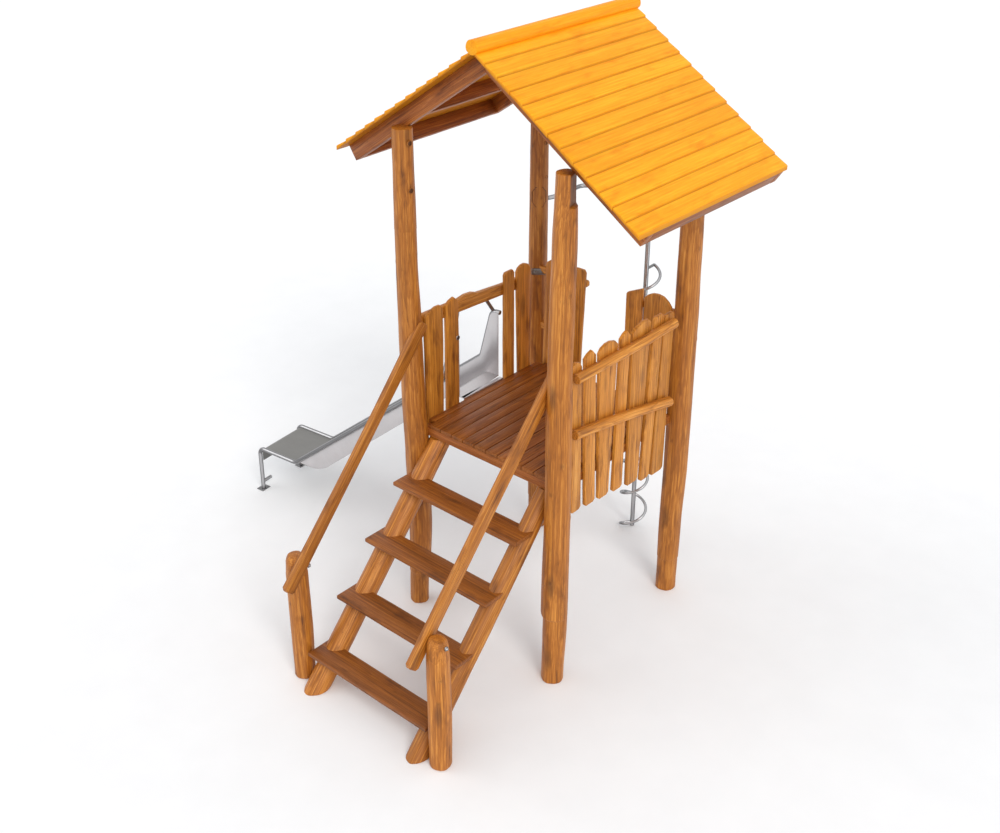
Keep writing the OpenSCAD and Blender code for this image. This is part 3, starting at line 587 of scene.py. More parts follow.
# Posts: seed, foot in plan, and rows of share of the height, bend along x and y in mm, thickness
POSTS = {
    "post_front_left": (1, -HALF_X, -HALF_Y, [
        (0, -14, 16, 0.93), (0.2, 30, 8, 1.06), (0.36, 26, 4, 1.11), (0.48, 8, 0, 1.05),
        (0.62, -6, 4, 1.02), (0.76, -16, 3, 0.94), (1, -39, 25, 0.86)]),
    "post_front_right": (2, HALF_X, -HALF_Y, [
        (0, 17, -16, 1.06), (0.15, 18, 0, 1.15), (0.42, 29, -4, 1.06), (0.56, 20, 0, 1.05),
        (0.66, 18, 0, 0.98), (0.78, 22, 2, 0.98), (0.88, 22, 10, 0.95), (1, 13, 25, 0.8)]),
    "post_back_right": (4, HALF_X, HALF_Y, [
        (0, 2, 0, 0.97), (0.16, 3, 0, 1.02), (0.3, 11, 4, 1.08), (0.42, 12, 0, 1.09),
        (0.52, 12, 0, 1.07), (0.62, 14, 0, 1.04), (0.72, 9, 0, 1), (1, -14, 25, 0.9)]),
    "post_back_left": (3, -HALF_X, HALF_Y, [
        (0, 0, 0, 0.95), (0.25, -6, 6, 1.04), (0.45, -20, 0, 1.02), (0.65, -31, 0, 0.88),
        (0.8, -35, 4, 0.85), (1, -52, 25, 0.8)]),
}


def all_round(_):
    """Share of a ledge that runs all round its log."""
    return 1.0


def left_side(angle):
    """Share of a ledge that is deepest toward 223 degrees in plan and ends on the other side."""
    return 0.5 - 0.5 * cos(angle - 43)


# Ledges: level, step, height over which it fades, where it shows
PLAIN_LEDGE = [(0.28, 0.003, 0.012, all_round)]
LEDGES = {"post_front_left": [(0.28, 0.004, 0.012, all_round), (2.90, 0.0015, 0.004, all_round)],
          "post_front_right": [(0.53, 0.016, 0.007, left_side)]}
# Flat cuts: direction they face, distance from the axis, level where they start, darkness, which is painted
# shade on the cut face
FLATS = {"post_front_right": [(18, 0.042, 3.36, 0.8)]}
for post, (seed, px, py, rows) in POSTS.items():
    shape = Shape()
    marks = [(rnd.random(), rnd.uniform(0.3, 3.3), rnd.uniform(0.010, 0.018), rnd.uniform(0.001, 0.003))
             for _ in range(9)]
    table = [(s, x / 1000, y / 1000, f) for s, x, y, f in rows]
    log(shape, (px, py, 0), (X, Y, Z), table, POST_H, POST_D, seed, knots=marks,
        ledges=LEDGES.get(post, PLAIN_LEDGE), flats=FLATS.get(post, ()), step=0.012)
    shape.build(post + "_log", LOG, "log_wood", [post])
back_left = shape.points[0]

# Bolt holes of the left posts: place, direction they face, size
BOLT_HOLES = [((-0.5775, -0.660, 3.466), (1, -0.15, 0), 0.013),
              ((-0.5715, -0.667, 3.165), (1, -0.2, 0), 0.013),
              ((-0.5925, 0.673, 3.142), (1, -0.1, 0), 0.010),
              ((-0.5870, 0.678, 2.897), (1, 0, 0), 0.010)]
shape = Shape()
for where, axis, size in BOLT_HOLES:
    lathe(shape, where, axis, size, BOLT_HOLE)
shape.build("post_bolt_holes", LOG, "log_wood")


def on_log(points, angle, level):
    """Point on an upright log's surface in a direction in plan, at a level."""
    ring = points[np.argsort(np.abs(points[:, 2] - level))[:LOG_SIDES]]
    middle = ring.mean(axis=0)
    toward = np.array((cos(angle), sin(angle)))
    reach = np.max((ring - middle)[:, :2] @ toward) + 0.0004
    return (middle[0] + reach * toward[0], middle[1] + reach * toward[1], level)


# Scribed octagon on the back left post; turn and rise of its corners from its middle
SCRIBE_TURN, SCRIBE_LEVEL = -47, 2.757
CORNERS = [(46, 0.035), (22, 0.072), (-22, 0.072), (-46, 0.035), (-46, -0.035), (-22, -0.072), (22, -0.072),
           (46, -0.035), (46, 0.035)]
shape = Shape()
path = [on_log(back_left, SCRIBE_TURN + turn, SCRIBE_LEVEL + rise) for turn, rise in CORNERS]
tube(shape, refine(path, 0.012), 0.0026, 8, 0.0005, dark=0.9)
shape.build("post_scribe", LOG, "log_wood")

# Steel bracket that ties the panels to the same post
BRACKET_TURN = -50
out = (cos(BRACKET_TURN), sin(BRACKET_TURN), 0)
aside = (-sin(BRACKET_TURN), cos(BRACKET_TURN), 0)
shape = Shape()
board(shape, octagon(0.052, 0.024, 0.006), -0.006, 0.003, (aside, Z, out, (-0.596, 0.6165, 2.200)), (1, 0),
      edge=0.001, tone=0.5, waver=0)
for across in (-0.022, 0.022):
    lathe(shape, (-0.5935 + across * aside[0], 0.6125 + across * aside[1], 2.200), out, 0.008, BOLT)
shape.build("corner_bracket", STRAP, "tube_steel")

# Stair
for number in range(TREADS):
    shape = Shape()
    y = TREAD_FRONT + number * GOING
    z = FIRST + number * RISER
    board(shape, box(-TREAD_L / 2, TREAD_L / 2, y, y + TREAD_W), z - TREAD_T, z, PLAN, (1, 0), edge=0.006,
          tone=0.2 + 0.15 * number)
    shape.build(f"tread_{number + 1}_board", PLANK, "plank_wood", [f"tread_{number + 1}"])

for name, (x, diameter, seed) in STRINGERS.items():
    shape = Shape()
    axes = (X, (0, -sin(STAIR), cos(STAIR)), (0, cos(STAIR), sin(STAIR)))
    length = BEAM_LOW / sin(STAIR)
    log(shape, (x, TREAD_FRONT - 0.005, 0), axes, [(0, 0, 0, 1.02), (0.5, 0.004, 0, 1), (1, 0, 0, 0.95)],
        length, diameter, seed, low=0.0024, high=BEAM_LOW, chamfer=0.004,
        knots=[(rnd.random(), rnd.uniform(0.3, 1.6), 0.013, 0.002) for _ in range(5)])
    shape.build(f"stringer_{name}_log", LOG, "log_wood", [f"stringer_{name}"])

NEWEL_LOG = [(0, 0, 0, 0.98), (0.4, 0.003, 0, 1.03), (0.86, 0, 0, 1), (0.95, 0, 0, 0.93), (1, 0, 0, 0.74)]
for name, side, seed in (("left", -1, 7), ("right", 1, 8)):
    shape = Shape()
    log(shape, (side * NEWEL_X, NEWEL_Y, 0), (X, Y, Z), NEWEL_LOG, NEWEL_H, NEWEL_D, seed, chamfer=0.012,
        ledges=[(0.87 * NEWEL_H, -0.002, 0.006, all_round)],
        knots=[(rnd.random(), rnd.uniform(0.2, 0.8), 0.013, 0.002) for _ in range(4)])
    shape.build(f"newel_{name}_log", LOG, "log_wood", [f"newel_{name}"])

shape = Shape()
lathe(shape, (-NEWEL_X + NEWEL_D / 2 - 0.001, -1.716, 0.899), X, 0.011, BOLT)
lathe(shape, (NEWEL_X + NEWEL_D / 2 - 0.001, -1.760, 0.938), X, 0.011, BOLT)
shape.build("newel_bolts", TUBE, "tube_steel")


def handrail(side, hollow):
    """Rail from a foot post up to a tower post; hollow is how far its upper edge sags."""
    low_y, low_z = NEWEL_Y - 0.120, NEWEL_H - 0.145
    length = (0.022 - HALF_Y - low_y) / cos(STAIR)
    half, cut = RAIL_W / 2, RAIL_W * 0.3
    nose = half - 0.02
    outline = [(-cut, -half), (length + cut, -half), (length + half, -nose), (length + half, nose),
               (length + cut, half)]
    outline += [(length * i / 8, half - hollow * sin(180 * i / 8)) for i in range(8, -1, -1)]
    outline += [(-cut, half), (-half, nose), (-half, -nose)]
    foot = (side * RAIL_X - RAIL_T / 2, low_y, low_z)
    place = ((0, cos(STAIR), sin(STAIR)), (0, -sin(STAIR), cos(STAIR)), X, foot)
    shape = Shape()
    board(shape, outline, 0, RAIL_T, place, (1, 0), edge=0.009, tone=0.35 + 0.2 * side)
    return shape


handrail(-1, 0.014).build("handrail_left_board", LOG, "plank_wood", ["handrail_left"])
handrail(1, 0).build("handrail_right_board", LOG, "plank_wood", ["handrail_right"])

# Deck
shape = Shape()
full, gap, boards = 1.010, 0.006, 10
pitch = (full + gap) / boards
for i in range(boards):
    x = -full / 2 + i * pitch
    board(shape, box(x, x + pitch - gap, DECK_FRONT, DECK_BACK), BEAM_TOP, DECK_H, PLAN, (0, 1), edge=0.003)
side_end = HALF_Y - POST_D / 2 - 0.022
for side in (-1, 1):
    x0, x1 = sorted((side * (full / 2 + gap), side * DECK_EDGE))
    board(shape, box(x0, x1, -side_end, side_end), BEAM_TOP, DECK_H, PLAN, (0, 1), edge=0.003)
shape.build("deck_planks", PLANK, "plank_wood", ["deck_boards"])

shape = Shape()
LAST_BEAM = RIGHT - PICKET_T
for y in (DECK_FRONT, DECK_BACK - BEAM_W):
    board(shape, box(-DECK_EDGE, LAST_BEAM, y, y + BEAM_W), BEAM_LOW, BEAM_TOP, PLAN, (1, 0), edge=0.005)
for x in (-DECK_EDGE, -BEAM_W / 2, LAST_BEAM - BEAM_W):
    outline = box(x, x + BEAM_W, DECK_FRONT + BEAM_W, DECK_BACK - BEAM_W)
    board(shape, outline, BEAM_LOW, BEAM_TOP, PLAN, (0, 1), edge=0.005)
shape.build("deck_frame", BEAM, "beam_wood",
            ["deck_beam_front", "deck_beam_back", "deck_beam_left", "deck_beam_right", "deck_joist"])

# Roof
COURSE = ROOF_RUN / ROOF_N
THIN, THICK = 0.75 * ROOF_T / cos(PITCH), 1.3 * ROOF_T / cos(PITCH)
ROUND, SEAM = 0.003, 0.0044
# Painted shade at the corners of a board's section: on the sawn underside, on the butt, and along the seam
# under the next board
PAINTED_SHADE_CORNERS = {0: 0.8, 1: 0.8, 2: 0.6, 3: 0.3, 7: 0.8}


def lap_section(x0, x1):
    """Section of one roof board between its lower edge x0 and its upper edge x1, seen along the ridge."""
    low0, low1 = ROOF_H - x0 * tan(PITCH), ROOF_H - x1 * tan(PITCH)
    gap = 0.0006
    butt = x0 - gap
    seam = low1 + THIN - SEAM * tan(PITCH) + SEAM / COURSE * (THICK - THIN)
    return [(x1 + gap, low1), (butt - 0.001, low0), (butt, low0 + 0.001), (butt, low0 + THICK - ROUND),
            (butt - ROUND * 0.35, low0 + THICK - ROUND * 0.3), (butt - ROUND, low0 + THICK + ROUND * 0.55),
            (x1 + SEAM, seam), (x1 + gap, low1 + THIN)]


def roof_board(shape, number, side):
    """One lapped board, counted from the eaves; side is -1 for the left slope."""
    x0 = ROOF_RUN - number * COURSE
    x1 = x0 - COURSE
    start, end = rnd.uniform(0, 0.004), ROOF_L - rnd.uniform(0, 0.004)
    lengths = [start, start + 0.0015] + list(np.linspace(start + 0.05, end - 0.05, 24)) + [end - 0.0015, end]
    points, grain, mark = [], [], []
    for along in lengths:
        small = 0.0012 if along in (start, end) else 0.0
        waver = 0.0016 * noise.noise(Vector((along * 3, number * 2.3, side * 4.0)))
        for corner, (qx, qz) in enumerate(lap_section(x0, x1)):
            if 3 <= corner <= 5:
                qx += waver
                qz -= waver * tan(PITCH) + small
            points.append((side * qx, ROOF_Y - ROOF_L / 2 + along, qz))
            grain.append((qx / cos(PITCH) - x1 + 0.03, qz + qx * tan(PITCH) + 0.08, along))
            # Painted shade on the underside, the butt and the lap seam
            mark.append(PAINTED_SHADE_CORNERS.get(corner, 0))
    faces = rings_to_faces(len(lengths), 8)
    shape.add(points, faces if side > 0 else [f[::-1] for f in faces], grain, rnd.random(), mark)


for name, side in (("left", -1), ("right", 1)):
    shape = Shape()
    for number in range(ROOF_N):
        roof_board(shape, number, side)
    shape.build(f"roof_boards_{name}", ROOF, "roof_wood", [f"roof_slope_{name}"], angle=25)

shape = Shape()
STRAIGHT = [(0, 0, 0, 1), (1, 0, 0, 1)]
log(shape, (0, ROOF_Y - ROOF_L / 2 - 0.008, ROOF_H + 0.4 * RIDGE_D), (X, (0, 0, -1), Y), STRAIGHT,
    ROOF_L + 0.016, RIDGE_D * 0.985, 0.0, chamfer=0.004, rough=0.0005)
shape.build("ridge_log", ROOF, "roof_wood", ["ridge_pole"])


def soffit(x):
    """Level of the rafters' lower edge at a distance from the ridge."""
    return ROOF_H - RAFTER_H / cos(PITCH) - x * tan(PITCH)


shape = Shape()
for side in (-1, 1):
    for y in RAFTER_Y:
        end_z = ROOF_H - RAFTER_RUN * tan(PITCH)
        outline = [(0.0004, soffit(0)), (0.0004, ROOF_H), (RAFTER_RUN, end_z),
                   (RAFTER_RUN - RAFTER_H * sin(PITCH), end_z - RAFTER_H * cos(PITCH))]
        place = ((side, 0, 0), Z, Y, (0, y, 0))
        board(shape, outline, 0, RAFTER_T, place, (cos(PITCH), -sin(PITCH)), edge=0.004)
shape.build("rafters", BEAM, "beam_wood",
            ["rafter_front_left", "rafter_front_right", "rafter_back_left", "rafter_back_right"])

shape = Shape()
y0, y1 = RAFTER_Y[0] + RAFTER_T, RAFTER_Y[1]
for side in (-1, 1):
    for x, h in ((RAFTER_RUN, RAFTER_H), (HALF_X + ROOF_BEAM_T / 2, RAFTER_H - 0.012)):
        down = np.array((side * cos(PITCH), 0, -sin(PITCH)))
        up = np.array((side * sin(PITCH), 0, cos(PITCH)))
        place = (Y, up, down, (side * x, 0, ROOF_H - x * tan(PITCH)))
        board(shape, box(y0, y1, -h, 0), -ROOF_BEAM_T, 0, place, (1, 0), edge=0.004)
w = ROOF_BEAM_T / 2
board(shape, box(y0, y1, soffit(0), ROOF_H - w * tan(PITCH)), -w, w, (Y, Z, X, (0, 0, 0)), (1, 0), edge=0.004)
shape.build("roof_timbers", BEAM, "beam_wood", ["roof_beams_left", "roof_beams_right", "ridge_beam"])

# Panels. Crowns are rows of share of the width and drop below the head in mm
POINTED = [(0, 38), (0.32, 12), (0.66, 0), (1, 40)]
ROUNDED = [(0, 46), (0.12, 18), (0.35, 2), (0.6, 0), (0.85, 14), (1, 44)]
SLANTED = [(0, 46), (0.2, 22), (0.6, 0), (0.85, 2), (1, 30)]
DOMED = [(0, 52), (0.12, 26), (0.3, 6), (0.5, 0), (0.7, 8), (0.88, 34), (1, 66)]
RAKED = [(0, 70), (0.06, 58), (0.94, 2), (1, 8)]
FLAT = [(0, 20), (0.12, 2), (0.3, 0), (0.85, 0), (1, 22)]


def picket(shape, feet, heads, levels, crown, place):
    """Upright board with hand cut ends; place says where its width runs."""
    width = heads[1] - heads[0]
    outline = [(feet[0], levels[0] + 0.012), (feet[0] + 0.014, levels[0]), (feet[1] - 0.020, levels[0]),
               (feet[1], levels[0] + 0.016)]
    outline += [(heads[0] + width * s, levels[1] - d / 1000) for s, d in reversed(crown)]
    board(shape, outline, 0, PICKET_T, place, (0, 1), edge=0.005, waver=0.0022)


SIDE = (Y, Z, X, (LEFT - PICKET_T, 0, 0))
GATE_NEAR, GATE_FAR = -0.030 - 0.228, -0.030 + 0.228        # sides of the opening to the slide
shape = Shape()
near, far, slit, slim, wide = GATE_NEAR, GATE_FAR, 0.028, 0.121, 0.172
near_wide, far_wide = near - slim - slit - wide, far + slim + 0.009
for feet, heads, above, crown in (
        ((near_wide, near_wide + wide - 0.014), (near_wide, near_wide + wide), 0.004, SLANTED),
        ((near - slim - 0.004, near - 0.004), (near - slim, near), 0.015, POINTED),
        ((far + 0.020, far + slim + 0.004), (far + 0.018, far + slim), 0.020, FLAT),
        ((far_wide + 0.048, far_wide + wide), (far_wide + 0.020, far_wide + wide - 0.010), 0.026, ROUNDED)):
    picket(shape, feet, heads, (PICKET_LOW, FENCE_TOP + above), crown, SIDE)
shape.build("slide_side_boards", PICKET, "picket_wood", ["slide_side_pickets"])

shape = Shape()
y0, y1, z0, fall = -HALF_Y + 0.020, 0.492, FENCE_TOP - 0.106, 0.063
outline = [(y0, z0), (y1 - 0.012, z0 - fall), (y1, z0 - fall + 0.014), (y1, z0 - fall + 0.072),
           (y1 - 0.012, z0 - fall + 0.084), (0.230, z0 + 0.031), (0.010, z0 + 0.050), (-0.030, z0 + 0.054),
           (-0.080, z0 + 0.073), (-0.150, z0 + 0.079), (-0.224, z0 + 0.068), (y0, z0 + 0.082)]
board(shape, outline, 0, 0.040, (Y, Z, X, (LEFT - PICKET_T - 0.040, 0, 0)), (1, -0.05), edge=0.007)
shape.build("slide_side_rail_board", PICKET, "picket_wood", ["slide_side_rail"])

# Heads and feet along Y, foot below the deck beams, head above the fence's height, in millimetres
FENCE_ROWS = [(-556, -452, -520, -420, -186, 8, ROUNDED), (-424, -314, -374, -270, -200, 36, POINTED),
              (-280, -88, -232, -124, -216, 28, ROUNDED), (-60, 40, -76, 27, -232, 38, POINTED),
              (64, 262, 80, 205, -262, 41, SLANTED), (300, 407, 238, 340, -298, 22, FLAT),
              (414, 524, 364, 502, -312, -4, FLAT)]
shape = Shape()
for row in FENCE_ROWS:
    h0, h1, f0, f1, below, above = (value / 1000 for value in row[:6])
    picket(shape, (f0, f1), (h0, h1), (BEAM_LOW + below, FENCE_TOP + above), row[6],
           (Y, Z, X, (RIGHT - PICKET_T, 0, 0)))
shape.build("fence_boards", PICKET, "picket_wood", ["fence_pickets"])


def against_pickets(q):
    """Point moved out to the outer face of the fence's pickets."""
    return np.array((max(q[0], RIGHT), q[1], q[2]))


def fence_rail(z0, z1, arch, seed):
    """Round rail outside the pickets, flattened where it meets them."""
    shape = Shape()
    y0, y1, steps, radius = -HALF_Y + 0.119, HALF_Y - 0.185, 40, 0.034
    path = []
    for i in range(steps + 1):
        t = i / steps
        sway = arch * sin(180 * t) + 0.002 * noise.noise(Vector((t * 4, seed, 0)))
        path.append((RIGHT + radius - 0.004, y0 + (y1 - y0) * t, z0 + (z1 - z0) * t + sway))
    tube(shape, path, radius, 32, 0.004, seed, 0.003, tone=0.8, flat=against_pickets)
    return shape


UPPER, LOWER = FENCE_TOP - 0.074, DECK_H + 0.340
for name, z0, z1, arch, seed in (("upper", UPPER, UPPER + 0.008, -0.006, 11),
                                 ("lower", LOWER, LOWER - 0.192, 0.008, 12)):
    shape = fence_rail(z0, z1, arch, seed)
    shape.build(f"fence_rail_{name}_log", PICKET, "picket_wood", [f"fence_rail_{name}"])

CLIMB_LEFT, CLIMB_RIGHT = 0.011 - 0.177, 0.011 + 0.177
BACK = (X, Z, Y, (0, DECK_BACK, 0))
# Heads and feet from the opening's edge, head above the fence's height, in millimetres
BACK_ROWS = {"left": (CLIMB_LEFT, [(-105, 0, -113, -32, 28, FLAT), (-241, -121, -262, -152, 40, POINTED),
                                   (-352, -257, -372, -272, 20, ROUNDED)]),
             "right": (CLIMB_RIGHT, [(0, 132, 4, 130, 33, RAKED), (148, 362, 148, 360, 28, DOMED)])}
for name, (edge, rows) in BACK_ROWS.items():
    shape = Shape()
    for row in rows:
        h0, h1, f0, f1, above = (value / 1000 for value in row[:5])
        levels = (PICKET_LOW, FENCE_TOP + above)
        picket(shape, (edge + f0, edge + f1), (edge + h0, edge + h1), levels, row[5], BACK)
    shape.build(f"back_boards_{name}", PICKET, "picket_wood", [f"back_pickets_{name}"])
for name, side, inner, short in (("left", -1, CLIMB_LEFT, 0.044), ("right", 1, CLIMB_RIGHT, 0.0)):
    shape = Shape()
    for z, start in ((FENCE_TOP - 0.112, inner), (DECK_H + 0.250, inner + side * short)):
        ends = sorted((start, side * (HALF_X - 0.010)))
        middle, half = (ends[0] + ends[1]) / 2, (ends[1] - ends[0]) / 2
        board(shape, octagon(half, 0.025, 0.012), DECK_BACK + PICKET_T, DECK_BACK + PICKET_T + 0.034,
              (X, Z, Y, (middle, 0, z + 0.025)), (1, 0), edge=0.005)
    shape.build(f"back_rail_boards_{name}", PICKET, "picket_wood", [f"back_rails_{name}"])

STRAP_START = 0.440
shape = Shape()
for z in (FENCE_TOP - 0.140, DECK_H + 0.070):
    place = (Y, Z, X, (RIGHT - PICKET_T - 0.005, 0, 0))
    board(shape, box(STRAP_START, HALF_Y - 0.060, z, z + 0.030), 0, 0.005, place, (1, 0), edge=0.001, waver=0)
shape.build("panel_straps", STRAP, "tube_steel", ["panel_brackets"])

# Slide
TURN = 6
SLIDE_L, SLIDE_W, END_H, FLAT_L, SHEET_T = 2.125, 0.460, 0.392, 0.400, 0.004
EDGE_Z = DECK_H + 0.010
GUARD_TOP = DECK_H + 0.502


def slide_point(u, v, z):
    """Point of the slide's own plan: u away from the deck, v across."""
    return np.array((LEFT - (u * cos(TURN) - v * sin(TURN)), SLIDE_Y - (u * sin(TURN) + v * cos(TURN)), z))


DECK_SIDE = 0.026
RAIL_END = SLIDE_L - FLAT_L
FLAT_X = RAIL_END - 0.254
SIT = FLAT_X - (EDGE_Z - END_H) / tan(40)
LIP_X = SLIDE_L - 0.012
RUNOUT_X = FLAT_X + 0.35 * tan(20) + 0.010
GUARD_REACH, GUARD_LOW = 0.191, EDGE_Z + 0.110
FLOOR_LINE = bent([(DECK_SIDE, EDGE_Z), (SIT, EDGE_Z), (FLAT_X, END_H), (LIP_X, END_H),
                   (LIP_X, END_H - 0.125)], (0.05, 0.35, 0.05), 16)
RAIL_LINE = bent([(DECK_SIDE, GUARD_TOP), (GUARD_REACH - 0.097, GUARD_TOP), (GUARD_REACH, GUARD_LOW),
                  (RAIL_END, END_H), (SLIDE_L, END_H), (SLIDE_L, 0.006)], (0.055, 0.060, 0.090, 0.055))


def strip(shape, line, half):
    """Sheet along a line of (u, z) points, out to half its width on both sides."""
    line = refine(line, 0.04)
    rows = []
    n = len(line)
    for i in range(n):
        d = line[min(i + 1, n - 1)] - line[max(i - 1, 0)]
        d = d / np.linalg.norm(d)
        across = np.array((-d[1], d[0])) * SHEET_T / 2
        rows.append((line[i] + across, line[i] - across))
    points, grain = [], []
    length = 0
    for i, (up, down) in enumerate(rows):
        length += 0 if i == 0 else np.linalg.norm(line[i] - line[i - 1])
        for q, v in ((up, -half), (up, half), (down, half), (down, -half)):
            points.append(slide_point(q[0], v, q[1]))
            grain.append((v, q[1] * 0.1, length))
    shape.add(points, [f[::-1] for f in rings_to_faces(n, 4)], grain, 0.5)


def side_wall(start):
    """Outline of a side sheet between the floor line and the tube, from the distance start on."""
    low = [q for q in FLOOR_LINE if start < q[0] < RAIL_END - 0.020]
    high = [q for q in RAIL_LINE if start < q[0] < RAIL_END + 0.060]
    return [(start, EDGE_Z)] + [tuple(q) for q in low + high[::-1]] + [(start, GUARD_TOP)]


def slide_axes(u, v):
    """Directions along and across the slide at a point of its plan, and that point."""
    corner = slide_point(u, v, 0)
    return slide_point(u + 1, v, 0) - corner, slide_point(u, v + 1, 0) - corner, corner


inner = SLIDE_W / 2 - TUBE_R
CHUTE = [q for q in FLOOR_LINE if q[0] <= RUNOUT_X] + [np.array((RUNOUT_X, END_H))]
FOOT = [np.array((RUNOUT_X + 0.001, END_H))] + [q for q in FLOOR_LINE if q[0] > RUNOUT_X + 0.001]
shape = Shape()
strip(shape, CHUTE, inner)
shape.build("slide_floor_sheet", SHEET, "sheet_steel", ["slide_chute"], angle=25)
# The run-out takes the darker steel, a painted dark reflection
shape = Shape()
strip(shape, FOOT, inner)
shape.build("slide_runout_sheet", RUNOUT, "sheet_steel", ["slide_chute"], angle=25)
shape = Shape()
for side, start in ((-1, 0.028), (1, 0.060)):
    along, across, corner = slide_axes(0, side * (inner - SHEET_T / 2) - SHEET_T / 2)
    board(shape, side_wall(start), 0, SHEET_T, (along, Z, across, corner), (1, -0.8), edge=0.0012, waver=0,
          step=0.5, tone=0.5)
shape.build("slide_side_sheets", SHEET, "sheet_steel")
for name, side in (("near", 1), ("far", -1)):
    shape = Shape()
    v = side * SLIDE_W / 2
    spread = 0.034 if side > 0 else 0.0
    path = []
    for u, z in refine(RAIL_LINE, 0.02):
        path.append(slide_point(u, v + spread * smooth_step(min(1, max(0, (0.115 - u) / 0.080))), z))
    tube(shape, path, TUBE_R, 24)
    along, across, corner = slide_axes(SLIDE_L, v)
    board(shape, box(-0.035, 0.035, -0.045, 0.045), 0, 0.006, (along, across, Z, corner), (1, 0), edge=0.0015,
          waver=0)
    peg = [slide_point(SLIDE_L, v - side * reach, 0.066) for reach in (0, 0.05, 0.095)]
    tube(shape, peg, TUBE_R - 0.003, 20)
    shape.build(f"slide_rail_{name}_tube", TUBE, "tube_steel", [f"slide_rail_{name}"], angle=40)

LEAN, SHOULDER, HOOP_H = 12, 0.091, 0.172
half = SLIDE_W / 2
hoop = bent([(-half, 0.010), (SHOULDER - half, HOOP_H), (half - SHOULDER, HOOP_H), (half, 0.010)],
            (0.035, 0.035))
shape = Shape()
tube(shape, [slide_point(GUARD_REACH - 0.109 + q[1] * sin(LEAN), q[0], GUARD_TOP - 0.010 + q[1] * cos(LEAN))
             for q in refine(hoop, 0.05)], 0.013, 20)
shape.build("slide_hoop_tube", TUBE, "tube_steel", ["slide_hoop"], angle=40)

# Level sheet between the pickets with an edge folded down over the deck's side
shape = Shape()
near, far = SLIDE_Y - SLIDE_W / 2 + TUBE_R, GATE_FAR - 0.003
board(shape, box(LEFT - 0.030, LEFT, near, far), EDGE_Z - SHEET_T / 2, EDGE_Z + SHEET_T / 2, PLAN, (0, 1),
      edge=0.0012, waver=0, tone=0.5)
board(shape, box(near, far, EDGE_Z - 0.040, EDGE_Z), 0, SHEET_T, (Y, Z, X, (LEFT - SHEET_T, 0, 0)), (1, 0),
      edge=0.0012, waver=0, tone=0.5)
shape.build("slide_apron_sheet", SHEET, "sheet_steel", ["slide_chute"])

# Climber
POLE_X, POLE_Y, POLE_R, CLIMB_H = -0.032, HALF_Y + 0.478, 0.017, 2.740
SPIRAL_R, RISE, COIL_R, COIL_LOW, TURNS, START = 0.100, 0.286, 0.0105, 0.032, 7.61, 232
shape = Shape()
tube(shape, [(POLE_X, POLE_Y, CLIMB_H * i / 30) for i in range(31)], POLE_R, 28, 0.003)
shape.build("climb_pole_tube", TUBE, "tube_steel", ["climb_pole"], angle=40)


def around_pole(r, a, z):
    """Point at a distance and a direction from the pole's axis."""
    return (POLE_X + r * cos(a), POLE_Y + r * sin(a), z)


steps = round(TURNS * 18) * 2
coil = [around_pole(SPIRAL_R, START + 10 * i, COIL_LOW + RISE * i / 36) for i in range(steps + 1)]
first = [around_pole(r, START, COIL_LOW) for r in (POLE_R, 0.04, 0.07)]
last = [around_pole(r, START + 10 * steps, coil[-1][2]) for r in (0.07, 0.04, POLE_R)]
shape = Shape()
for path in (coil, first + coil[:1], coil[-1:] + last):
    tube(shape, path, COIL_R, 16)
shape.build("climb_spiral_tube", TUBE, "tube_steel", ["climb_spiral"], angle=40)
shape = Shape()
fx, fz, fy = -HALF_X, CLIMB_H - 0.026, HALF_Y + 0.058
arm = bent([(fx - 0.012, fy), (fx - 0.012, fy + 0.020), (fx + 0.006, fy + 0.080), (fx + 0.006, POLE_Y),
            (POLE_X - 0.012, POLE_Y)], (0.02, 0.02, 0.075))
tube(shape, [(q[0], q[1], fz) for q in refine(arm, 0.05)], 0.016, 24)
shape.build("climb_frame_tube", TUBE, "tube_steel", ["climb_frame"], angle=40)


# Floor, light and camera
def paper(name):
    """Pale matt floor that keeps the shadow."""
    n = Nodes(name)
    place = n.tree.nodes.new("ShaderNodeTexCoord").outputs["Object"]
    grey = n.ramp(n.noise(place, 3.0, 4.0), [(0.3, 0.92), (0.7, 0.94)])
    n.link(grey, n.bsdf.inputs["Base Color"])
    n.bsdf.inputs["Roughness"].default_value = 0.9
    n.bsdf.inputs["Specular IOR Level"].default_value = 0.1
    return n.material


mesh = bpy.data.meshes.new("floor")
FLOOR = 60
mesh.from_pydata([(x, y, 0) for x, y in box(-FLOOR, FLOOR, -FLOOR, FLOOR)], [], [(0, 1, 2, 3)])
mesh.materials.append(paper("floor_paper"))
floor = bpy.data.objects.new("floor", mesh)
bpy.context.scene.collection.objects.link(floor)


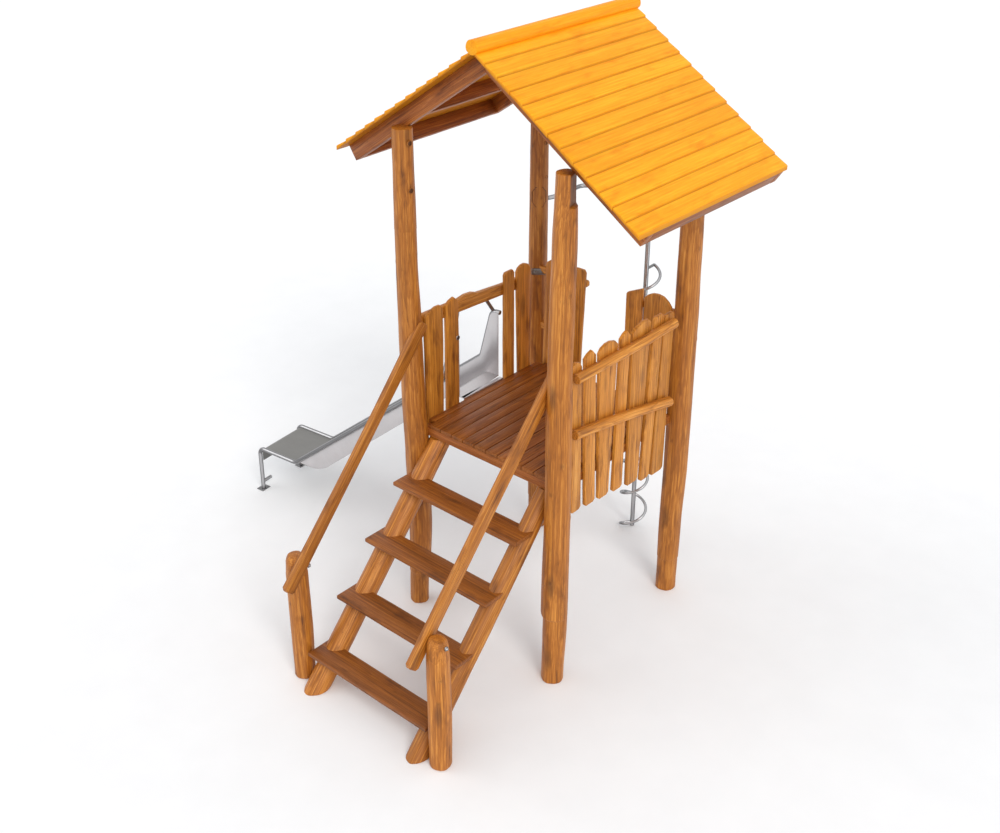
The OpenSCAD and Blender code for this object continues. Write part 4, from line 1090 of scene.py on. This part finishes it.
def studio(soft_level):
    """Even soft light all round; what the camera and metal see behind the tower is plain white."""
    world = bpy.data.worlds.new("studio")
    bpy.context.scene.world = world
    world.use_nodes = True
    tree = world.node_tree
    tree.nodes.clear()
    path = tree.nodes.new("ShaderNodeLightPath")
    seen = path.outputs["Is Camera Ray"]
    for label in ("Is Glossy Ray", "Is Transmission Ray"):
        either = tree.nodes.new("ShaderNodeMath")
        either.operation = "MAXIMUM"
        tree.links.new(seen, either.inputs[0])
        tree.links.new(path.outputs[label], either.inputs[1])
        seen = either.outputs[0]
    both = tree.nodes.new("ShaderNodeMixShader")
    tree.links.new(seen, both.inputs[0])
    for socket, colour, level in ((1, (0.95, 0.97, 1.0, 1), soft_level), (2, (1, 1, 1, 1), 1.0)):
        light = tree.nodes.new("ShaderNodeBackground")
        light.inputs[0].default_value = colour
        light.inputs[1].default_value = level
        tree.links.new(light.outputs[0], both.inputs[socket])
    out = tree.nodes.new("ShaderNodeOutputWorld")
    tree.links.new(both.outputs[0], out.inputs[0])


def sun(name, toward, strength, spread, colour=(1, 1, 1)):
    """Distant lamp that shines from the direction toward it, so that the floor is lit evenly."""
    data = bpy.data.lights.new(name, "SUN")
    data.energy = strength
    data.angle = math.radians(spread)
    data.color = colour
    lamp = bpy.data.objects.new(name, data)
    bpy.context.scene.collection.objects.link(lamp)
    lamp.rotation_euler = Vector(toward).to_track_quat("Z", "Y").to_euler()


studio(0.82)
sun("key", (6.4, -3.4, 5.8), 1.25, 25, (1.0, 0.985, 0.96))
sun("fill", (-6.0, -4.5, 5.0), 0.45, 40)

# Camera solved from the photo: place, angles in degrees, focal length and optical centre in pixels
WIDTH, HEIGHT = 1000, 833
CAMERA = np.array((4.9186, -6.0992, 5.9310)) + MID
YAW, TILT, ROLL, FOCAL, CENTRE = 43.0849, -27.6674, -0.8294, 1310.508, (462.140, 373.328)
ahead = np.array((-sin(YAW) * cos(TILT), cos(YAW) * cos(TILT), sin(TILT)))
right = np.cross(ahead, (0, 0, 1))
right /= np.linalg.norm(right)
up = np.cross(right, ahead)
right, up = cos(ROLL) * right + sin(ROLL) * up, -sin(ROLL) * right + cos(ROLL) * up
data = bpy.data.cameras.new("camera")
data.sensor_width = 36
data.sensor_fit = "HORIZONTAL"
data.lens = FOCAL * data.sensor_width / WIDTH
data.shift_x = (WIDTH / 2 - CENTRE[0]) / WIDTH
data.shift_y = (CENTRE[1] - HEIGHT / 2) / WIDTH
camera = bpy.data.objects.new("camera", data)
bpy.context.scene.collection.objects.link(camera)
camera.matrix_world = Matrix([[right[i], up[i], -ahead[i], CAMERA[i]] for i in range(3)] + [[0, 0, 0, 1]])
bpy.context.scene.camera = camera
bpy.context.scene.view_settings.view_transform = "Standard"
